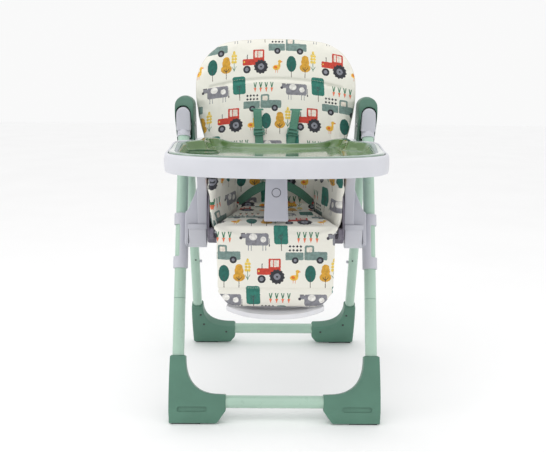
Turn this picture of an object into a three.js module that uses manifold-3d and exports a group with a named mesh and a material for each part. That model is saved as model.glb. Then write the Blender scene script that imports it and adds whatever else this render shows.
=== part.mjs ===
// Baby high chair: a folding A-frame of steel tube, a seat that slides up and down the front legs,
// a reclining backrest, a raising leg rest with a footrest, and a sliding tray with a lift-off insert.
// Millimetres, +Z up, the chair faces -Y, +X is the sitter's left. The floor is z = 0.
import * as THREE from "three";
import { mergeVertices } from "three/addons/utils/BufferGeometryUtils.js";
import Module from "manifold-3d";

const wasm = await Module();
wasm.setup();

// ---- driving dimensions --------------------------------------------------------------------
const GAP = 0.4; // clearance between pieces that touch
const FRONT_LEAN = THREE.MathUtils.degToRad(20.8);
const REAR_LEAN = THREE.MathUtils.degToRad(21.7);
const PIVOT = { y: 52, z: 825 }; // fold axis, through both hubs
const FRONT_OFFSET = 22; // front leg's centre line, ahead of the fold axis
const REAR_OFFSET = 18; // rear leg's centre line, behind the fold axis
const FRONT_X = 278.5; // centre lines, from the middle of the chair
const REAR_X = 273;
const FRONT_TUBE_R = 17;
const REAR_TUBE_R = 16;
const TUBE_WALL = 1.6;
const CROSS_Z = 57; // height of both cross tubes
const CROSS_TUBE_R = 18;
const CROSS_TUBE_END = 165;
const FOOT_INNER_X = 139.5;
const FOOT_THICK = 42;
const TOE_Y = -293; // upright toe of the front feet
const FRONT_FOOT_TOP = 178;
const REAR_FOOT_TOP = 165;
const PAD_HEIGHT = 3; // rubber pad under each foot
const HUB_TOP = 910;
const HUB_X = (FRONT_X + REAR_X) / 2;
const HUB_HALF_WIDTH = 28;
const SLEEVE_R = 19.5;
const SLIDER_R = 22;
const SLIDER_LOW = 414;
const SLIDER_HIGH = 567;
const COLLAR = 35;
const ARM_INNER_X = 196.5;
const ARM_OUTER_X = 225;
const ARM_TOP = 716;
const SEAT_FRONT = -215;
const SEAT_TOP = 573;
const SEAT_HALF_WIDTH = 169;
const RECLINE = { y: 60, z: 560 }; // backrest hinge
const BACK_LEAN = THREE.MathUtils.degToRad(9);
const BACK_LENGTH = 515;
const BACK_PAD_THICK = 42;
const LEG_HINGE = { y: -225, z: 545 }; // leg rest hinge
const CALF_BOTTOM = 335;
const TRAY_LOW = 721;
const TRAY_RIM = 773;
const TRAY_RIM_BACK = 784; // the rim rises at the rear corners
const TRAY_HALF_WIDTH = 300;
const TRAY_ARM_X = 243; // the tray's rear arms pass between the hubs
const SEGMENTS = 20; // sides of a round tube

const frontFootY = PIVOT.y - FRONT_OFFSET / Math.cos(FRONT_LEAN) - PIVOT.z * Math.tan(FRONT_LEAN);
const rearFootY = PIVOT.y + REAR_OFFSET / Math.cos(REAR_LEAN) + PIVOT.z * Math.tan(REAR_LEAN);
const frontPivotS = PIVOT.z / Math.cos(FRONT_LEAN) + FRONT_OFFSET * Math.tan(FRONT_LEAN);
const rearPivotS = PIVOT.z / Math.cos(REAR_LEAN) + REAR_OFFSET * Math.tan(REAR_LEAN);
const trayFront = -rearFootY + PAD_HEIGHT * Math.tan(REAR_LEAN) - FOOT_THICK / 2 / Math.cos(REAR_LEAN);
const onFrontLeg = (z) => z / Math.cos(FRONT_LEAN); // height -> distance along a front leg
const onRearLeg = (z) => z / Math.cos(REAR_LEAN);

// ---- materials -------------------------------------------------------------------------------
function material(hex, roughness, metalness = 0) {
  return new THREE.MeshStandardMaterial({ color: new THREE.Color(hex), roughness, metalness });
}
const paint = material("#a9c7b4", 0.35, 0.2);
const steel = material("#b9bcc0", 0.3, 1);
const greenPlastic = material("#4f8069", 0.5);
const greyPlastic = material("#c3c4cd", 0.45);
const darkPlastic = material("#55565c", 0.55);
const rubber = material("#2f3133", 0.85);
const fabric = material("#efeee4", 0.9);
const webbing = material("#4f8a72", 0.85);
const clearGreen = material("#4f7d4b", 0.12);

// ---- geometry helpers ------------------------------------------------------------------------
function toSolid(geometry) {
  const plain = geometry.clone();
  plain.deleteAttribute("normal");
  plain.deleteAttribute("uv");
  const merged = mergeVertices(plain, 1e-4);
  return new wasm.Manifold(new wasm.Mesh({
    numProp: 3,
    vertProperties: Float32Array.from(merged.attributes.position.array),
    triVerts: Uint32Array.from(merged.index.array),
  }));
}

function toGeometry(solid) {
  const data = solid.getMesh();
  const geometry = new THREE.BufferGeometry();
  geometry.setAttribute("position", new THREE.BufferAttribute(data.vertProperties, 3));
  geometry.setIndex(new THREE.BufferAttribute(data.triVerts, 1));
  geometry.computeVertexNormals();
  return geometry;
}

function box(x0, x1, y0, y1, z0, z1) {
  const geometry = new THREE.BoxGeometry(x1 - x0, y1 - y0, z1 - z0);
  geometry.translate((x0 + x1) / 2, (y0 + y1) / 2, (z0 + z1) / 2);
  return toSolid(geometry);
}

function outline(points) {
  return new THREE.Shape(points.map(([u, v]) => new THREE.Vector2(u, v)));
}

// A side view, in y and z, extruded from x0 to x1.
function sidePlate(shape, x0, x1, curveSegments = 8) {
  const geometry = new THREE.ExtrudeGeometry(shape, { depth: x1 - x0, bevelEnabled: false, curveSegments });
  geometry.applyMatrix4(new THREE.Matrix4().makeBasis(
    new THREE.Vector3(0, 1, 0), new THREE.Vector3(0, 0, 1), new THREE.Vector3(1, 0, 0)));
  geometry.translate(x0, 0, 0);
  return toSolid(geometry);
}

// A front view, in x and z, extruded from y0 to y1.
function frontPlate(shape, y0, y1, curveSegments = 8) {
  const geometry = new THREE.ExtrudeGeometry(shape, { depth: y1 - y0, bevelEnabled: false, curveSegments });
  geometry.rotateX(Math.PI / 2);
  geometry.translate(0, y1, 0);
  return toSolid(geometry);
}

// A top view, in x and y, extruded from z0 to z1.
function topPlate(shape, z0, z1, curveSegments = 8) {
  const geometry = new THREE.ExtrudeGeometry(shape, { depth: z1 - z0, bevelEnabled: false, curveSegments });
  geometry.translate(0, 0, z0);
  return toSolid(geometry);
}

function rodX(radius, x0, x1, y, z, segments = SEGMENTS) {
  const geometry = new THREE.CylinderGeometry(radius, radius, x1 - x0, segments);
  geometry.rotateZ(Math.PI / 2);
  geometry.translate((x0 + x1) / 2, y, z);
  return toSolid(geometry);
}

function rodZ(radius, x, y, z0, z1, segments = SEGMENTS) {
  const geometry = new THREE.CylinderGeometry(radius, radius, z1 - z0, segments);
  geometry.rotateX(Math.PI / 2);
  geometry.translate(x, y, (z0 + z1) / 2);
  return toSolid(geometry);
}

function ring(outer, inner, length, segments = SEGMENTS) {
  const shape = new THREE.Shape().absarc(0, 0, outer, 0, 2 * Math.PI);
  shape.holes.push(new THREE.Path().absarc(0, 0, inner, 0, 2 * Math.PI, true));
  const options = { depth: length, bevelEnabled: false, curveSegments: segments };
  return toSolid(new THREE.ExtrudeGeometry(shape, options));
}

function strap(width, thick, from, to) {
  const start = new THREE.Vector3(...from);
  const end = new THREE.Vector3(...to);
  const geometry = new THREE.BoxGeometry(width, thick, start.distanceTo(end));
  const along = end.clone().sub(start).normalize();
  const across = new THREE.Vector3(1, 0, 0).addScaledVector(along, -along.x).normalize();
  const normal = new THREE.Vector3().crossVectors(along, across);
  geometry.applyMatrix4(new THREE.Matrix4().makeBasis(across, normal, along));
  const middle = start.add(end).multiplyScalar(0.5);
  geometry.translate(middle.x, middle.y, middle.z);
  return toSolid(geometry);
}

// Moves a solid from the chair's frame into the front legs' leaning frame.
const toFrontFrame = (solid) => solid.translate([0, -frontFootY, 0])
  .rotate([THREE.MathUtils.radToDeg(FRONT_LEAN), 0, 0]);

const SIDES = [["left", 1], ["right", -1]];

function addMesh(group, name, solid, look) {
  const mesh = new THREE.Mesh(toGeometry(solid), look);
  mesh.name = name;
  group.add(mesh);
  return mesh;
}

// Builds a piece once, on the +X side, and adds it and its mirror image.
function addPair(group, name, solid, look) {
  for (const [side, sign] of SIDES) {
    addMesh(group, `${name}_${side}`, sign > 0 ? solid : solid.mirror([1, 0, 0]), look);
  }
}

// ---- groups: each leaning frame has its own group, whose local z runs along the legs ---------
const chair = new THREE.Group();
const frontFrame = new THREE.Group();
frontFrame.position.y = frontFootY;
frontFrame.rotation.x = -FRONT_LEAN;
const rearFrame = new THREE.Group();
rearFrame.position.y = rearFootY;
rearFrame.rotation.x = REAR_LEAN;
const backrest = new THREE.Group();
backrest.position.set(0, RECLINE.y, RECLINE.z);
backrest.rotation.x = -BACK_LEAN;
chair.add(frontFrame, rearFrame, backrest);

// ---- feet and frame tubes ----------------------------------------------------------------------
function footShape(legX, outerX, top, along) {
  const socket = outerX - legX;
  const shape = new THREE.Shape();
  shape.moveTo(FOOT_INNER_X, along(33));
  shape.lineTo(190, along(-20));
  shape.lineTo(outerX - 2, along(-20));
  shape.lineTo(outerX, along(30));
  shape.lineTo(outerX - 1, along(top));
  shape.lineTo(legX - socket + 1, along(top));
  shape.lineTo(legX - socket, along(top - 18));
  shape.quadraticCurveTo(legX - socket - 6, along(84), FOOT_INNER_X + 30, along(CROSS_Z + 20));
  shape.lineTo(FOOT_INNER_X, along(CROSS_Z + 19));
  return shape;
}

function buildFrame(group, kind, spec) {
  const { legX, outerX, tubeR, top, along, lean, tubeTop, toe } = spec;
  const floor = toSolid(new THREE.BoxGeometry(900, 500, 200).translate(0, 0, PAD_HEIGHT - 100).rotateX(lean));
  const crossS = along(CROSS_Z);
  const plate = frontPlate(footShape(legX, outerX, top, along), -FOOT_THICK / 2, FOOT_THICK / 2, 6);
  const foot = (toe ? plate.subtract(toe) : plate)
    .subtract(rodZ(tubeR + GAP, legX, 0, along(28), along(top) + 10))
    .subtract(rodX(CROSS_TUBE_R + GAP, FOOT_INNER_X - 10, CROSS_TUBE_END + GAP, 0, crossS))
    .subtract(floor);
  addPair(group, `${kind}_foot`, foot, greenPlastic);

  const legBottom = along(28) + GAP;
  const leg = ring(tubeR, tubeR - TUBE_WALL, tubeTop - legBottom, SEGMENTS / 2);
  for (const [side, sign] of SIDES) {
    const mesh = addMesh(group, `${kind}_leg_${side}`, leg, paint);
    mesh.position.set(sign * legX, 0, legBottom);
  }
  const cross = ring(CROSS_TUBE_R, CROSS_TUBE_R - TUBE_WALL, 2 * CROSS_TUBE_END, SEGMENTS / 2);
  const tube = addMesh(group, `${kind}_cross_tube`, cross, paint);
  tube.position.set(-CROSS_TUBE_END, 0, crossS);
  tube.rotation.y = Math.PI / 2;
}

const sleeveTopS = frontPivotS + 25;
const sleeveLowS = frontPivotS - 45;
buildFrame(frontFrame, "front", {
  legX: FRONT_X, outerX: 301.5, tubeR: FRONT_TUBE_R, top: FRONT_FOOT_TOP, along: onFrontLeg,
  lean: FRONT_LEAN, tubeTop: frontPivotS + 14,
  toe: toFrontFrame(box(-400, 400, TOE_Y - 80, TOE_Y, -40, 90)),
});
buildFrame(rearFrame, "rear", {
  legX: REAR_X, outerX: 294, tubeR: REAR_TUBE_R, top: REAR_FOOT_TOP, along: onRearLeg,
  lean: -REAR_LEAN, tubeTop: rearPivotS - 60,
});
for (const [kind, outerX, from, to] of [
  ["front", 292, TOE_Y + 3, TOE_Y + 29],
  ["rear", 285, rearFootY - 18, rearFootY + 16],
]) {
  addPair(chair, `${kind}_foot_pad`, box(outerX - 80, outerX, from, to, 0, PAD_HEIGHT - GAP), rubber);
}

// ---- hubs: grey sleeve on the front leg, green shell on the rear leg, one pin through both -----
const pivotLug = rodX(11, FRONT_X - 17, FRONT_X + 17, FRONT_OFFSET, frontPivotS);
const sleeve = rodZ(SLEEVE_R, FRONT_X, 0, sleeveLowS, sleeveTopS)
  .add(toSolid(new THREE.SphereGeometry(SLEEVE_R, SEGMENTS, 10).rotateX(Math.PI / 2)
    .translate(FRONT_X, 0, sleeveTopS)))
  .add(pivotLug)
  .subtract(rodZ(FRONT_TUBE_R + GAP, FRONT_X, 0, sleeveLowS - 5, frontPivotS + 14 + GAP))
  .subtract(rodX(4.4, FRONT_X - 30, FRONT_X + 30, FRONT_OFFSET, frontPivotS, 16));
addPair(frontFrame, "front_leg_socket", sleeve, greyPlastic);

const crown = { y: PIVOT.y - 2, z: HUB_TOP - 48, r: 48 };
const socketS = 95; // from the fold axis down the rear leg to the socket's round end
const socket = {
  y: PIVOT.y + REAR_OFFSET * Math.cos(REAR_LEAN) + socketS * Math.sin(REAR_LEAN),
  z: PIVOT.z + REAR_OFFSET * Math.sin(REAR_LEAN) - socketS * Math.cos(REAR_LEAN),
  r: 24,
};

const hubInner = HUB_X - HUB_HALF_WIDTH;
const hubOuter = HUB_X + HUB_HALF_WIDTH;

function buildHub() {
  const profile = wasm.Manifold.hull([
    rodX(crown.r, hubInner, hubOuter, crown.y, crown.z, 32),
    rodX(socket.r, hubInner, hubOuter, socket.y, socket.z),
  ]);
  const roundTop = new THREE.Shape();
  roundTop.moveTo(hubInner, socket.z - 60);
  roundTop.lineTo(hubOuter, socket.z - 60);
  roundTop.lineTo(hubOuter, HUB_TOP - HUB_HALF_WIDTH);
  roundTop.absarc(HUB_X, HUB_TOP - HUB_HALF_WIDTH, HUB_HALF_WIDTH, 0, Math.PI);
  const shell = profile.intersect(frontPlate(roundTop, -100, 250));
  // The slot that the front leg and its sleeve turn through, open to the front.
  const slotIn = FRONT_X - SLEEVE_R - 1;
  const slotOut = FRONT_X + SLEEVE_R + 1;
  const down = [Math.sin(REAR_LEAN), -Math.cos(REAR_LEAN)];
  const ahead = [-Math.cos(REAR_LEAN), -Math.sin(REAR_LEAN)];
  const corner = (along, forward) => [
    PIVOT.y + down[0] * along + ahead[0] * forward,
    PIVOT.z + down[1] * along + ahead[1] * forward,
  ];
  const wall = -REAR_OFFSET + REAR_TUBE_R + 3.2;
  const swingOutline = outline([corner(0, 130), corner(150, 130), corner(150, wall), corner(0, wall)]);
  const swing = sidePlate(swingOutline, slotIn, slotOut);
  const round = rodX(54, slotIn, slotOut, PIVOT.y, PIVOT.z, 32);
  const legBore = rodZ(REAR_TUBE_R + GAP, REAR_X, 0, rearPivotS - 160, rearPivotS - 60 + GAP)
    .rotate([THREE.MathUtils.radToDeg(REAR_LEAN), 0, 0]).translate([0, rearFootY, 0]);
  const pinHole = rodX(4.4, hubInner - 5, hubOuter + 5, PIVOT.y, PIVOT.z, 16);
  const buttonHole = rodX(11.5, FRONT_X + 10, hubOuter + 5, PIVOT.y + 16, PIVOT.z + 26);
  return shell.subtract(swing).subtract(round).subtract(legBore).subtract(pinHole).subtract(buttonHole);
}
addPair(chair, "hub_shell", buildHub(), greenPlastic);
const foldButton = rodX(11, FRONT_X + SLEEVE_R + 3.2, hubOuter + 2, PIVOT.y + 16, PIVOT.z + 26);
addPair(chair, "fold_button", foldButton, greyPlastic);
const hubPin = rodX(4, hubInner - GAP - 1, hubOuter + GAP + 1, PIVOT.y, PIVOT.z, 16)
  .add(rodX(8, hubInner - GAP - 2, hubInner - GAP, PIVOT.y, PIVOT.z, 16))
  .add(rodX(8, hubOuter + GAP, hubOuter + GAP + 2, PIVOT.y, PIVOT.z, 16));
addPair(chair, "hub_pin", hubPin, steel);

const peg = rodX(5, REAR_X - REAR_TUBE_R - GAP - 7, REAR_X - REAR_TUBE_R - GAP, 0, onRearLeg(338), 12);
addPair(rearFrame, "tray_peg", peg, greyPlastic);

// ---- height slider, armrest and lever ----------------------------------------------------------
const leverBay = box(198.5, 251.5, -178, -112, 455, 550);
const sliderLow = onFrontLeg(SLIDER_LOW);
const sliderHigh = onFrontLeg(SLIDER_HIGH);
const armOutline = outline([
  [ARM_OUTER_X + GAP, onFrontLeg(476)], [262, onFrontLeg(476)], [262, sliderHigh - 4], [256, sliderHigh],
  [236, onFrontLeg(612)], [ARM_OUTER_X + GAP, onFrontLeg(645)],
]);
const slider = rodZ(SLIDER_R, FRONT_X, 0, sliderLow, sliderHigh)
  .subtract(box(281, 310, -40, 40, sliderLow + COLLAR, sliderHigh - COLLAR))
  .add(frontPlate(armOutline, -58, 18))
  .subtract(rodZ(FRONT_TUBE_R + GAP, FRONT_X, 0, sliderLow - 10, sliderHigh + 60))
  .subtract(toFrontFrame(leverBay));
addPair(frontFrame, "height_slider", slider, greyPlastic);

const armrestOutline = new THREE.Shape();
armrestOutline.moveTo(-150, 494);
armrestOutline.lineTo(10, 494);
armrestOutline.quadraticCurveTo(30, 600, 62, 690);
armrestOutline.lineTo(62, ARM_TOP);
armrestOutline.lineTo(-185, ARM_TOP);
armrestOutline.lineTo(-185, 700);
armrestOutline.quadraticCurveTo(-152, 690, -150, 640);
const armrest = sidePlate(armrestOutline, ARM_INNER_X, ARM_OUTER_X, 6).subtract(leverBay);
addPair(chair, "armrest", armrest, greyPlastic);

const leverOutline = new THREE.Shape();
leverOutline.moveTo(-151, 494);
leverOutline.quadraticCurveTo(-148, 480, -134, 480);
leverOutline.quadraticCurveTo(-120, 480, -116, 494);
leverOutline.lineTo(-116, 542);
leverOutline.lineTo(-151, 542);
addPair(chair, "height_lever", sidePlate(leverOutline, 199.5, 250.5, 4), darkPlastic);

// ---- seat --------------------------------------------------------------------------------------
const shellOutline = outline([
  [-205, 524], [-190, 505], [30, 505], [70, 530], [70, 548], [-205, 548],
]);
const hingeLug = box(180, 192.5, 46, 70, 540, 572);
const earOutline = outline([
  [-210, 520], [-190, 520], [-190, 546], [-206, 548], [-214, 556], [-238, 556], [-238, 536],
]);
const ear = sidePlate(earOutline, 172, 183);
const shellWall = sidePlate(outline([
  [-205, 540], [20, 540], [20, 640], [-160, 640], [-184, 625], [-198, 590],
]), 187, 192.5);
const legButtonHole = rodX(9.4, 176, 190, LEG_HINGE.y + 3, LEG_HINGE.z - 1, 16);
const legRodHole = rodX(4.4, 160, 179, LEG_HINGE.y, LEG_HINGE.z, 12);
const halfShell = sidePlate(shellOutline, 0, 192.5).add(hingeLug).add(ear).add(shellWall)
  .subtract(rodX(7.4, 170, 189, RECLINE.y, RECLINE.z, 16)).subtract(legRodHole).subtract(legButtonHole);
addMesh(chair, "seat_shell", halfShell.add(halfShell.mirror([1, 0, 0])), darkPlastic);
addMesh(chair, "recline_rod", rodX(7, -188.5, 188.5, RECLINE.y, RECLINE.z, 16), steel);
addMesh(chair, "leg_rest_rod", rodX(4, -175.5, 175.5, LEG_HINGE.y, LEG_HINGE.z, 12), steel);

const taper = 56 / 225; // how fast the bucket narrows towards the back
const padEdge = (y) => SEAT_HALF_WIDTH - (y - SEAT_FRONT) * taper;
const seatPadOutline = outline([
  [-padEdge(SEAT_FRONT), SEAT_FRONT], [padEdge(SEAT_FRONT), SEAT_FRONT],
  [padEdge(48), 48], [-padEdge(48), 48],
]);
addMesh(chair, "seat_pad", topPlate(seatPadOutline, 548 + GAP, SEAT_TOP), fabric);
const wingOuter = 187 - GAP;
const wingOutline = outline([
  [padEdge(-196) + 6, -196], [wingOuter, -196], [wingOuter, 13], [padEdge(13) + 6, 13],
]);
addPair(chair, "side_pad", topPlate(wingOutline, 548 + GAP, 698), fabric);

// ---- leg rest and footrest ---------------------------------------------------------------------
const panelOutline = outline([
  [-130, LEG_HINGE.z - 4], [-130, 372], [-105, 346], [105, 346], [130, 372], [130, LEG_HINGE.z - 4],
]);
const panel = frontPlate(panelOutline, LEG_HINGE.y + 3, LEG_HINGE.y + 12)
  .add(rodX(8, -60, 60, LEG_HINGE.y, LEG_HINGE.z, 16))
  .subtract(rodX(4.4, -70, 70, LEG_HINGE.y, LEG_HINGE.z, 16));
addMesh(chair, "leg_rest_panel", panel, greyPlastic);

const calfOutline = new THREE.Shape();
calfOutline.moveTo(-168, 535);
calfOutline.lineTo(-164, 385);
calfOutline.lineTo(-140, 350);
calfOutline.quadraticCurveTo(-120, CALF_BOTTOM, -80, CALF_BOTTOM);
calfOutline.lineTo(80, CALF_BOTTOM);
calfOutline.quadraticCurveTo(120, CALF_BOTTOM, 140, 350);
calfOutline.lineTo(164, 385);
calfOutline.lineTo(168, 535);
addMesh(chair, "calf_pad", frontPlate(calfOutline, LEG_HINGE.y - 19, LEG_HINGE.y + 2.5, 4), fabric);

const stepOutline = new THREE.Shape();
stepOutline.moveTo(-136, -212);
stepOutline.lineTo(-138, -246);
stepOutline.quadraticCurveTo(-90, -276, 0, -276);
stepOutline.quadraticCurveTo(90, -276, 138, -246);
stepOutline.lineTo(136, -212);
const footrest = topPlate(stepOutline, 307, 322, 6).add(box(-90, 90, -212.6, -206, 310, 440));
addMesh(chair, "footrest", footrest, greyPlastic);
const legButton = rodX(9, 180, 188, LEG_HINGE.y + 3, LEG_HINGE.z - 1, 16);
addPair(chair, "leg_rest_button", legButton, greyPlastic);

// ---- backrest: local z runs up the backrest, local -y is its front -------------------------------
function backOutline(inset, low) {
  const top = BACK_LENGTH - inset;
  const shape = new THREE.Shape();
  shape.moveTo(-150 + inset, low);
  shape.lineTo(150 - inset, low);
  shape.quadraticCurveTo(188 - inset, low, 190 - inset, 90);
  shape.lineTo(194 - inset, 150);
  shape.quadraticCurveTo(213 - inset, 185, 218 - inset, 225);
  shape.quadraticCurveTo(243 - inset, 310, 241 - inset, 372);
  shape.bezierCurveTo(241 - inset, 425, 215 - inset, top - 38, 150 - inset, top - 14);
  shape.quadraticCurveTo(90, top, 0, top);
  shape.quadraticCurveTo(-90, top, -150 + inset, top - 14);
  shape.bezierCurveTo(-215 + inset, top - 38, -241 + inset, 425, -241 + inset, 372);
  shape.quadraticCurveTo(-243 + inset, 310, -218 + inset, 225);
  shape.quadraticCurveTo(-213 + inset, 185, -194 + inset, 150);
  shape.lineTo(-190 + inset, 90);
  shape.quadraticCurveTo(-188 + inset, low, -150 + inset, low);
  return shape;
}
addMesh(backrest, "backrest_pad", frontPlate(backOutline(0, 22), -BACK_PAD_THICK, 0, 4), fabric);
const leverSlot = box(-48, 48, 10, 30, 326, 366);
const backShell = frontPlate(backOutline(9, 14), GAP, 16, 4).subtract(leverSlot);
addMesh(backrest, "backrest_shell", backShell, darkPlastic);
addMesh(backrest, "recline_lever", box(-46, 46, 10.5, 24, 328, 354), greyPlastic);

// ---- harness -------------------------------------------------------------------------------------
const strapY = -BACK_PAD_THICK - 2.2;
addPair(backrest, "shoulder_strap", strap(25, 2.4, [60, strapY, 302], [46, strapY, 108]), webbing);
addPair(backrest, "strap_adjuster", box(37, 71, strapY - 7.5, strapY - 1.6, 226, 248), darkPlastic);
addPair(chair, "waist_strap", strap(25, 2.4, [104, -4, 596], [42, -50, 644]), webbing);
addMesh(chair, "crotch_strap", strap(25, 2.4, [0, -112, 577.5], [0, -60, 626]), webbing);
const buckle = box(-25, 25, -68, -48, 630, 676).subtract(box(-12, 12, -70, -58, 644, 666));
addMesh(chair, "harness_buckle", buckle, darkPlastic);
addMesh(chair, "buckle_button", box(-11.5, 11.5, -71, -62.5, 644.5, 665.5), greenPlastic);

// ---- tray ----------------------------------------------------------------------------------------
function trayShape(inset) {
  const half = TRAY_HALF_WIDTH - inset;
  const arm = TRAY_ARM_X - inset;
  const front = trayFront + inset;
  const shoulder = -44 - inset; // stays ahead of the front legs
  const back = 34 - inset;
  const waist = -40 - inset; // the hollow for the child's tummy
  const shape = new THREE.Shape();
  shape.moveTo(0, front);
  shape.bezierCurveTo(half * 0.62, front, half, front + 45, half, -265);
  shape.lineTo(half, -130);
  shape.bezierCurveTo(half, shoulder - 14, arm + 30, shoulder, arm, shoulder);
  shape.lineTo(arm, back - 24);
  shape.quadraticCurveTo(arm, back, arm - 24, back);
  shape.bezierCurveTo(150, back, 130, waist, 0, waist);
  shape.bezierCurveTo(-130, waist, -150, back, -arm + 24, back);
  shape.quadraticCurveTo(-arm, back, -arm, back - 24);
  shape.lineTo(-arm, shoulder);
  shape.bezierCurveTo(-arm - 30, shoulder, -half, shoulder - 14, -half, -130);
  shape.lineTo(-half, -265);
  shape.bezierCurveTo(-half, front + 45, -half * 0.62, front, 0, front);
  return shape;
}
// Everything above a rim that rises from the front to the two rear corners, and dips between them.
const aboveRim = (front, back) => sidePlate(outline([
  [-450, front], [-250, front], [-70, back], [60, back], [60, 850], [-450, 850],
]), -310, 310).add(frontPlate(outline([
  [-200, back], [-120, front], [120, front], [200, back], [200, 850], [-200, 850],
]), -200, 60));
const releaseBay = box(285, 310, -262, -222, 741, 755);
const tray = topPlate(trayShape(0), TRAY_LOW, TRAY_RIM_BACK, 7)
  .subtract(aboveRim(TRAY_RIM - 4, TRAY_RIM_BACK - 4))
  .subtract(topPlate(trayShape(6), TRAY_LOW - 5, 738, 7))
  .subtract(topPlate(trayShape(10), 758, TRAY_RIM_BACK + 5, 7))
  .subtract(releaseBay)
  .subtract(releaseBay.mirror([1, 0, 0]));
addMesh(chair, "tray", tray, greyPlastic);
addPair(chair, "tray_release", box(291, 303, -260, -224, 742, 754), darkPlastic);

const cupCentre = { x: -207, y: -170, r: 46 };
const dish = topPlate(trayShape(13), 758 + GAP, TRAY_RIM_BACK + 5, 7)
  .subtract(aboveRim(TRAY_RIM + 5, TRAY_RIM_BACK + 4))
  .subtract(topPlate(trayShape(24), 762, TRAY_RIM_BACK + 10, 7))
  .add(rodZ(cupCentre.r + 3, cupCentre.x, cupCentre.y, 759, 768))
  .subtract(rodZ(cupCentre.r, cupCentre.x, cupCentre.y, 761, 790));
addMesh(chair, "tray_insert", dish, clearGreen);

const postOutline = outline([
  [-29, 738 - GAP], [-34, 590], [-28, SEAT_TOP + 4], [28, SEAT_TOP + 4], [34, 590], [29, 738 - GAP],
]);
const badge = toSolid(new THREE.TorusGeometry(12, 1.6, 6, 20).rotateX(Math.PI / 2).translate(0, -236, 658));
addMesh(chair, "crotch_post", frontPlate(postOutline, -236, -208).add(badge), greyPlastic);

export default chair;
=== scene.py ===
# %% [markdown]
# # A folding baby high chair
# The chair is a pale green tube frame with dark green feet and hubs, a light grey moulded seat
# carrier and tray, and a padded seat in printed cloth. The measured frame comes from the CAD
# model. Here each visible piece gets its fine shape and its finish, and rides on the CAD body
# that moves it, so the chair still folds, reclines and slides.

# %% Load the measured chair
import math

import bmesh
import bpy
import numpy as np
from mathutils import Matrix, Vector, noise
from mathutils.bvhtree import BVHTree


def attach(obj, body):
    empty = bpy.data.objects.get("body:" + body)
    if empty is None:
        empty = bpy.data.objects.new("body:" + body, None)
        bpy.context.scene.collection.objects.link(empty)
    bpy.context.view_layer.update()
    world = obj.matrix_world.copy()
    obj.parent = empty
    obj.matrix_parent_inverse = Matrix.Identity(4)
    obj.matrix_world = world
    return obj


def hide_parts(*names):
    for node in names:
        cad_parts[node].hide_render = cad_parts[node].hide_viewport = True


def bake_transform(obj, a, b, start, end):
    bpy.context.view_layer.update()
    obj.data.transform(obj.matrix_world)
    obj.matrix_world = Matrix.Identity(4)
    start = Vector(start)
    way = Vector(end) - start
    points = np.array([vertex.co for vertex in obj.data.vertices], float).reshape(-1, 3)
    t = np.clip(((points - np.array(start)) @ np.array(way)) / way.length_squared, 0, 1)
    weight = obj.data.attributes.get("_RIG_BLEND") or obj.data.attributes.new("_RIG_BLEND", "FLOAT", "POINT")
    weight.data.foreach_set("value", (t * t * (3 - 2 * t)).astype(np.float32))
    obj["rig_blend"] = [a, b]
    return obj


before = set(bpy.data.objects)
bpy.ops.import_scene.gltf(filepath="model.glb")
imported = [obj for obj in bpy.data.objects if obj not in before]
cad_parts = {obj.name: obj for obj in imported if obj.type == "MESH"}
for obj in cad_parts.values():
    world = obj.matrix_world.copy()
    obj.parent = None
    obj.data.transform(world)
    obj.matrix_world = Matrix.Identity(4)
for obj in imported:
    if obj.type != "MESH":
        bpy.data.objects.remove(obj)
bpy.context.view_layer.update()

MM = 0.001
SIDES = (("left", 1), ("right", -1))


def linked(name, data):
    """A new object that holds the data, in the scene."""
    made = bpy.data.objects.new(name, data)
    bpy.context.scene.collection.objects.link(made)
    return made


def mesh_of(name, bm):
    """Turns a bmesh into a mesh, and frees it."""
    mesh = bpy.data.meshes.new(name)
    bm.to_mesh(mesh)
    bm.free()
    return mesh


def at(x, y, z):
    """A move by x, y and z (mm)."""
    return Matrix.Translation((x * MM, y * MM, z * MM))


# %% [markdown]
# ## Where things are
# The legs lean, and so does the backrest. Each lean is read off the CAD nodes or given once here,
# so that every piece made later can be built upright and then laid on its leg.

# %% The leaning frames
FRONT_LEAN = math.radians(20.8)
REAR_LEAN = math.radians(21.7)
BACK_LEAN = math.radians(9)
PIVOT = Vector((0, 52, 825)) * MM
FRONT_FOOT_Y = PIVOT.y - 22 * MM / math.cos(FRONT_LEAN) - PIVOT.z * math.tan(FRONT_LEAN)
REAR_FOOT_Y = PIVOT.y + 18 * MM / math.cos(REAR_LEAN) + PIVOT.z * math.tan(REAR_LEAN)
FRONT_FRAME = Matrix.Translation((0, FRONT_FOOT_Y, 0)) @ Matrix.Rotation(-FRONT_LEAN, 4, "X")
REAR_FRAME = Matrix.Translation((0, REAR_FOOT_Y, 0)) @ Matrix.Rotation(REAR_LEAN, 4, "X")
RECLINE = Vector((0, 60, 560)) * MM
BACK_FRAME = Matrix.Translation(RECLINE) @ Matrix.Rotation(-BACK_LEAN, 4, "X")
PIVOT_S_FRONT = (PIVOT.z / math.cos(FRONT_LEAN)) + 22 * MM * math.tan(FRONT_LEAN)
PIVOT_S_REAR = (PIVOT.z / math.cos(REAR_LEAN)) + 18 * MM * math.tan(REAR_LEAN)
print("front legs meet the floor at y", round(FRONT_FOOT_Y, 4), "rear legs at", round(REAR_FOOT_Y, 4))

# %% [markdown]
# ## The camera
# The chair is seen from the front, a little above tray height, with a normal lens.

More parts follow.
